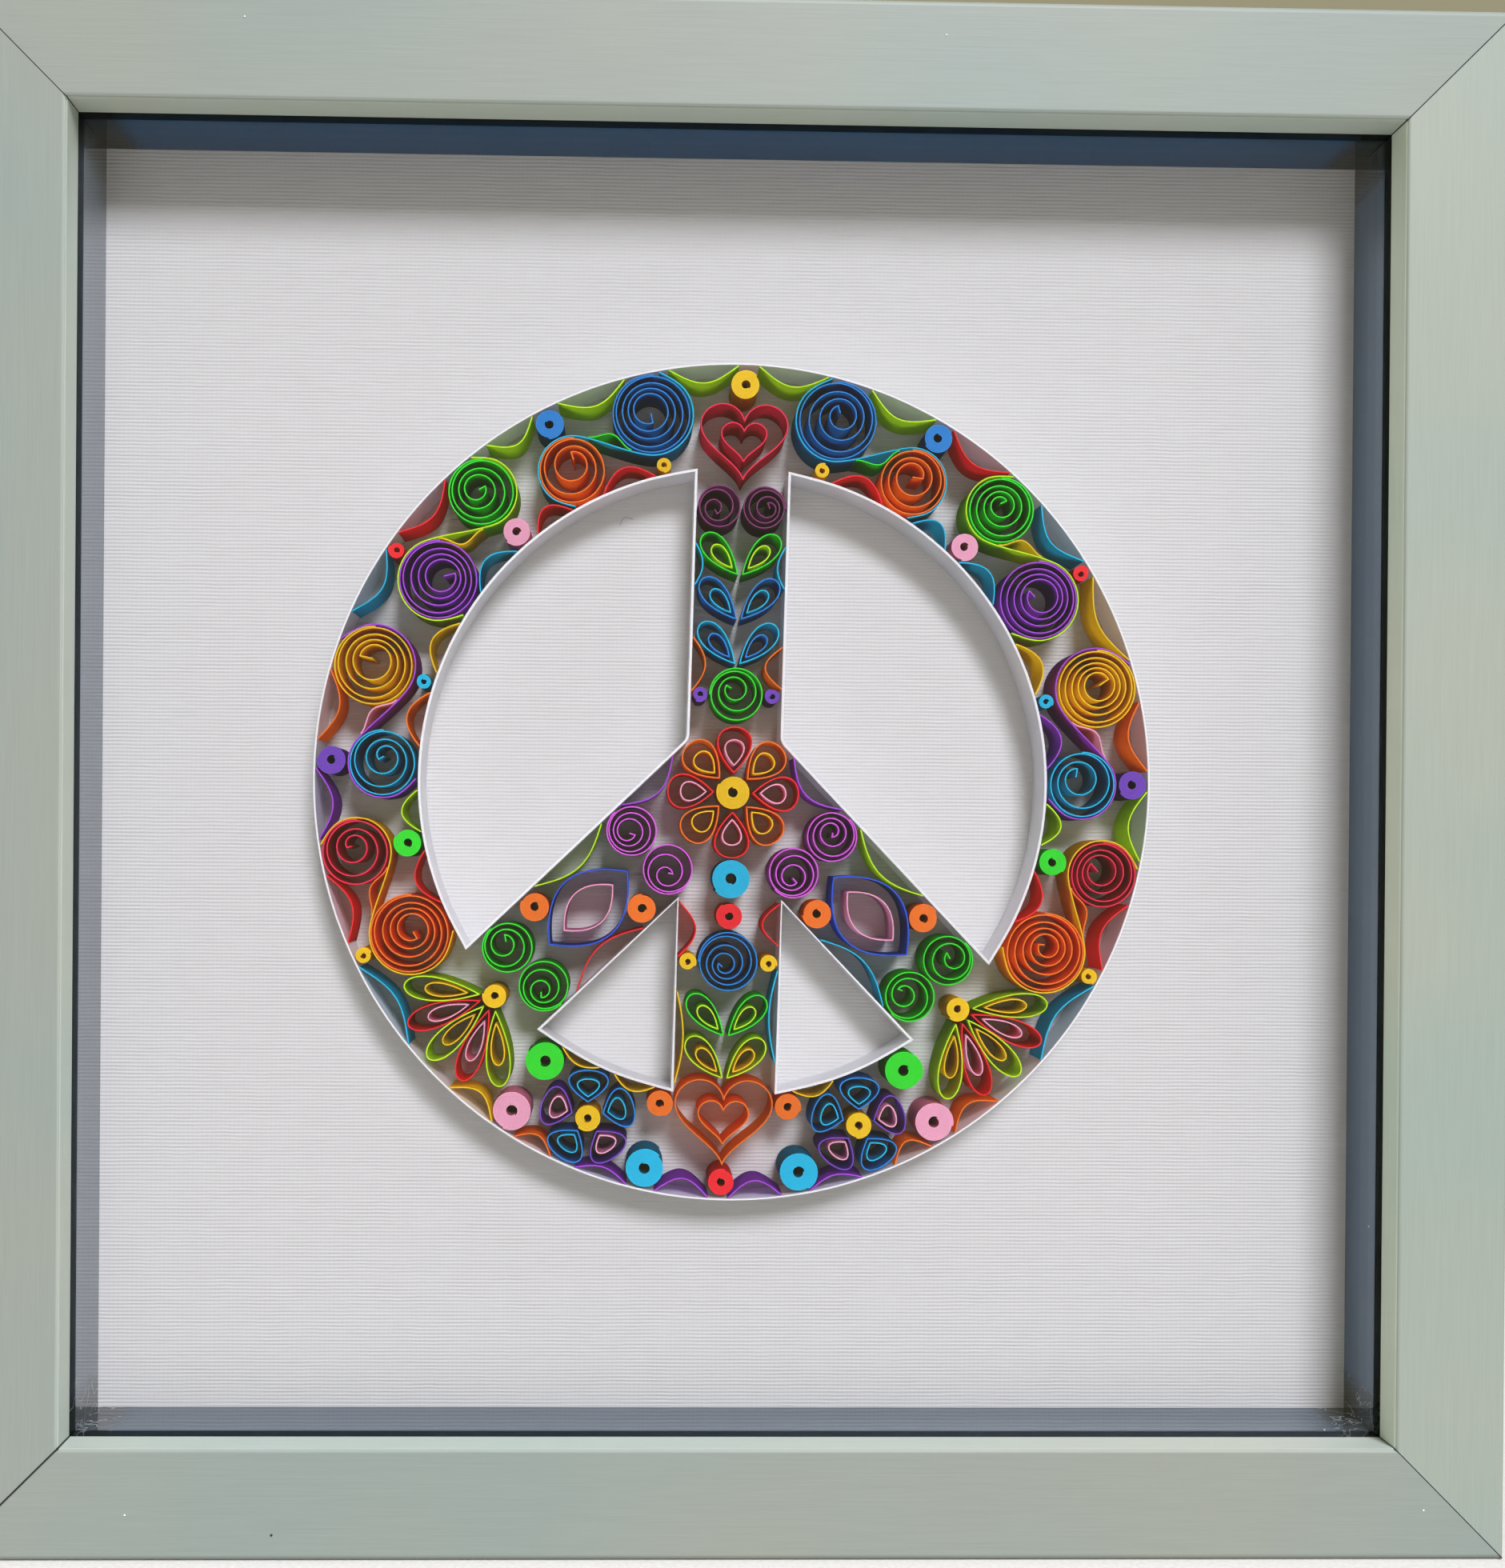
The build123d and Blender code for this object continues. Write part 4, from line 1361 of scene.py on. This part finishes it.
@dataclass(frozen=True)
class SmallMarks:
    """Painted shade in the open mitres, dust on foil and walls, a dark chip, a fibre on the card.
    """

    rail_face: float = -17.2 * MM
    lip_back: float = -10.3 * MM
    lip_half: float = 124.2 * MM
    outer_half: float = 144.6 * MM
    mitre_widths: tuple[float, ...] = (0.34 * MM, 0.16 * MM, 0.16 * MM, 0.2 * MM)
    dust_width: float = 0.34 * MM
    dust_places: tuple[tuple[float, float, float], ...] = (
        (-111.8, -17.2, 8.6),
        (-91.8, -17.2, 284.4),
        (37.7, -17.2, 283.4),
        (129.6, -17.2, 9.4),
        (123.75, -5.5, 60.0),
        (114.6, -7.6, 21.25),
    )
    chip_width: float = 0.5 * MM
    chip_place: tuple[float, float, float] = (-84.9, -17.2, 4.9)
    fibre_ends: tuple[complex, complex] = (-22.4 + 196.0j, -19.8 + 197.2j)
    fibre_bow: float = 0.35
    fibre_width: float = 0.12 * MM
    fibre_steps: int = 12
    fibre_sides: int = 6
    card_front: float = 5.75 * MM
    pole: float = 0.15
    ball_rings: int = 6
    ball_sides: int = 8

    def build(self) -> None:
        """Build each kind of mark as one piece."""
        self.mitres()
        dust = [self.blob(place, self.dust_width) for place in self.dust_places]
        self.piece("dust_specks", dust, PlainFinish("paper_dust", "#e2e2dc", 0.9), "white_paper")
        chip = [self.blob(self.chip_place, self.chip_width)]
        core = PlainFinish("chipped_foil_core", "#1d211f", 0.8)
        self.piece("foil_chip", chip, core, "frame_foil")
        blue = PlainFinish("blue_paper_fibre", "#8b98bd", 0.9)
        self.piece("card_fibre", [self.fibre()], blue, "paper_blue")

    def mitres(self) -> None:
        """Lay painted shade in each mitre, along the lip's corner and over the rail's face."""
        low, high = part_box("linen_card")
        middle = (low.z + high.z) / 2
        grids = []
        for width, (side, up) in zip(self.mitre_widths, product((-1, 1), repeat=2)):
            outward = np.array([side, 0.0, up])
            across = np.array([up, 0.0, -side]) * width / 2 / math.sqrt(2)
            sunk = np.array([0.0, width / 4, 0.0])
            inner = outward * self.lip_half + np.array([0.0, self.rail_face, middle])
            outer = outward * self.outer_half + np.array([0.0, self.rail_face, middle])
            back = outward * self.lip_half + np.array([0.0, self.lip_back, middle])
            rim = outward * width / 4
            for start, end, thick in ((inner, outer, sunk), (back, inner, rim)):
                ring = np.array([across + thick, -across + thick, -across - thick, across - thick])
                grids.append(np.stack([start + ring, end + ring]))
        # Painted shade: near-black strips stand in for the shade inside the open mitre gaps.
        self.piece("mitre_gap_painted_shade", grids, PlainFinish("painted_mitre_gap_shade", "#141a18", 0.8), "frame_foil")

    def blob(self, place: tuple[float, float, float], width: float) -> np.ndarray:
        """Make the rings of a round blob, place + width / 2 (sin u cos v, cos u, sin u sin v).

        Args:
            place: its middle in mm.
            width: its width.

        Returns:
            Rings of points from its far pole to its near one.
        """
        u = np.linspace(self.pole, math.pi - self.pole, self.ball_rings)[:, None]
        v = np.arange(self.ball_sides)[None, :] * 2 * math.pi / self.ball_sides
        ball = np.stack([np.sin(u) * np.cos(v), np.cos(u) + 0 * v, np.sin(u) * np.sin(v)], 2)
        return np.array(place) * MM + ball * width / 2

    def fibre(self) -> np.ndarray:
        """Make the rings of a bowed fibre that lies on the card."""
        start, end = self.fibre_ends
        share = np.linspace(0, 1, self.fibre_steps)
        line = start + (end - start) * (share + 1j * self.fibre_bow * np.sin(math.pi * share))
        along = np.gradient(line)
        side = 1j * along / np.abs(along)
        turn = np.arange(self.fibre_sides) * 2 * math.pi / self.fibre_sides
        half = self.fibre_width / 2
        flat = line[:, None] * MM + side[:, None] * half * np.cos(turn)[None, :]
        depth = self.card_front + half * np.sin(turn)[None, :] + 0 * flat.real
        return np.stack([flat.real, depth, flat.imag], 2)

    @staticmethod
    def piece(name: str, grids: list[np.ndarray], finish: PlainFinish, slot: str) -> None:
        """Skin rings of points to closed bodies, and join them to one piece.

        Args:
            name: the piece's name.
            grids: for each body its rings, as an array of ring, corner and coordinate.
            finish: the finish.
            slot: not used.
        """
        mesh = joined(name, [(grid, skinned(*grid.shape[:2], False)) for grid in grids])
        work = bmesh.new()
        work.from_mesh(mesh)
        bmesh.ops.recalc_face_normals(work, faces=work.faces)
        work.to_mesh(mesh)
        work.free()
        added(name, mesh, finish)


@dataclass(frozen=True)
class PictureCamera:
    """The camera of the photograph, from a fit to the corners of frame, lip and card."""

    place: tuple[float, float, float] = (-0.01856, -0.3423, 0.13185)
    turn: tuple[float, float, float] = (0.0031, 0.00798, 0.02247)
    lens: float = 40.33
    shift_right: float = 0.0487
    shift_up: float = 0.0454

    def set_up(self) -> None:
        """Place the camera and make it the scene's own."""
        data = bpy.data.cameras.new("picture_camera")
        data.lens = self.lens
        data.shift_x = self.shift_right
        data.shift_y = self.shift_up
        data.clip_start = 0.01
        camera = bpy.data.objects.new("picture_camera", data)
        angle = math.sqrt(sum(part * part for part in self.turn))
        matrix = Matrix.Rotation(angle, 3, self.turn).transposed()
        right, forward, up = matrix.col[0], matrix.col[1], matrix.col[2]
        axes = Matrix((right, up, -forward)).transposed().to_4x4()
        camera.matrix_world = Matrix.Translation(self.place) @ axes
        bpy.context.scene.collection.objects.link(camera)
        bpy.context.scene.camera = camera


@dataclass(frozen=True)
class Studio:
    """A dim warm room, a tall window above the viewer, a pale wall behind, and the floor.

    The window's sill stands at 26 degrees above the picture's normal and its head at 70
    degrees, as the shadow that the lip throws on the card tells. Its panel hangs as far
    off as the sky, so that it lights the card evenly from top to bottom.
    """

    room_colour: str = "#fff6cc"
    room_strength: float = 0.33
    window_colour: str = "#eeeff8"
    window_radiance: float = 42.0
    window_right: float = 6.8
    window_distance: float = 24.0
    window_width: float = 9.6
    sill_angle: float = math.radians(26)
    head_angle: float = math.radians(70)
    wall_colour: str = "#fff9d4"
    wall_power: float = 1.0
    wall_distance: float = 2.2
    wall_size: tuple[float, float] = (1.0, 0.36)
    floor_side: float = 6.0
    bounces: int = 8
    floor_colour: str = "#b9b7b2"

    def set_up(self) -> None:
        """Make world, window, wall and floor, and set the view."""
        scene = bpy.context.scene
        world = bpy.data.worlds.new("room")
        world.use_nodes = True
        back = world.node_tree.nodes["Background"]
        back.inputs["Color"].default_value = linear_colour(self.room_colour)
        back.inputs["Strength"].default_value = self.room_strength
        scene.world = world
        card_low, card_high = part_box("linen_card")
        sill = card_high.z + self.window_distance * math.tan(self.sill_angle)
        head = card_high.z + self.window_distance * math.tan(self.head_angle)
        self.panel(
            "window_light",
            (self.window_right, card_low.y - self.window_distance, (sill + head) / 2),
            (self.window_width, head - sill),
            self.window_radiance * math.pi * self.window_width * (head - sill),
            self.window_colour,
        )
        wall = self.panel(
            "wall_light",
            (0, card_low.y - self.wall_distance, self.wall_size[1] / 2),
            self.wall_size,
            self.wall_power,
            self.wall_colour,
        )
        wall.visible_glossy = False
        self.floor(scene)
        scene.view_settings.view_transform = "Standard"
        scene.cycles.diffuse_bounces = self.bounces

    @staticmethod
    def panel(
        name: str,
        place: tuple[float, float, float],
        size: tuple[float, float],
        power: float,
        colour: str,
    ) -> Object:
        """Hang an upright panel of light that faces the picture.

        Args:
            name: the light's name.
            place: its middle.
            size: its width and height.
            power: its power in watts.
            colour: its colour as a hex code.

        Returns:
            The light object.
        """
        data = bpy.data.lights.new(name, "AREA")
        data.shape = "RECTANGLE"
        data.size, data.size_y = size
        data.energy = power
        data.color = linear_colour(colour)[:3]
        panel = bpy.data.objects.new(name, data)
        panel.location = place
        panel.rotation_euler = (math.pi / 2, 0, 0)
        bpy.context.scene.collection.objects.link(panel)
        return panel

    def floor(self, scene: Scene) -> None:
        """Lay the floor that the frame stands on.

        Args:
            scene: the scene that gets the floor.
        """
        half = self.floor_side / 2
        mesh = bpy.data.meshes.new("floor")
        mesh.from_pydata(
            [(-half, -half, 0), (half, -half, 0), (half, half, 0), (-half, half, 0)],
            [],
            [(0, 1, 2, 3)],
        )
        mesh.materials.append(PlainFinish("painted_floor", self.floor_colour, 0.8).material())
        floor = bpy.data.objects.new("floor", mesh)
        scene.collection.objects.link(floor)
        floor.visible_glossy = False
        floor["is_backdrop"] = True


def write_size(moment: str, sizes: dict) -> None:
    """Args:
        moment: when it was measured.
        sizes: the boxes so far, to which this one is added.
    """
    low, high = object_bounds()
    sizes[moment] = {"low": list(low), "high": list(high)}


def main() -> None:
    """Dress the frame, build the paper, and set camera, light and floor."""
    logging.basicConfig(level=logging.INFO, format="%(message)s")
    sizes: dict = {}
    write_size("loaded", sizes)
    QuilledPaper().build()
    FrameDressing().dress()
    SmallMarks().build()
    PictureCamera().set_up()
    Studio().set_up()
    write_size("finished", sizes)


if __name__ == "__main__":
    main()
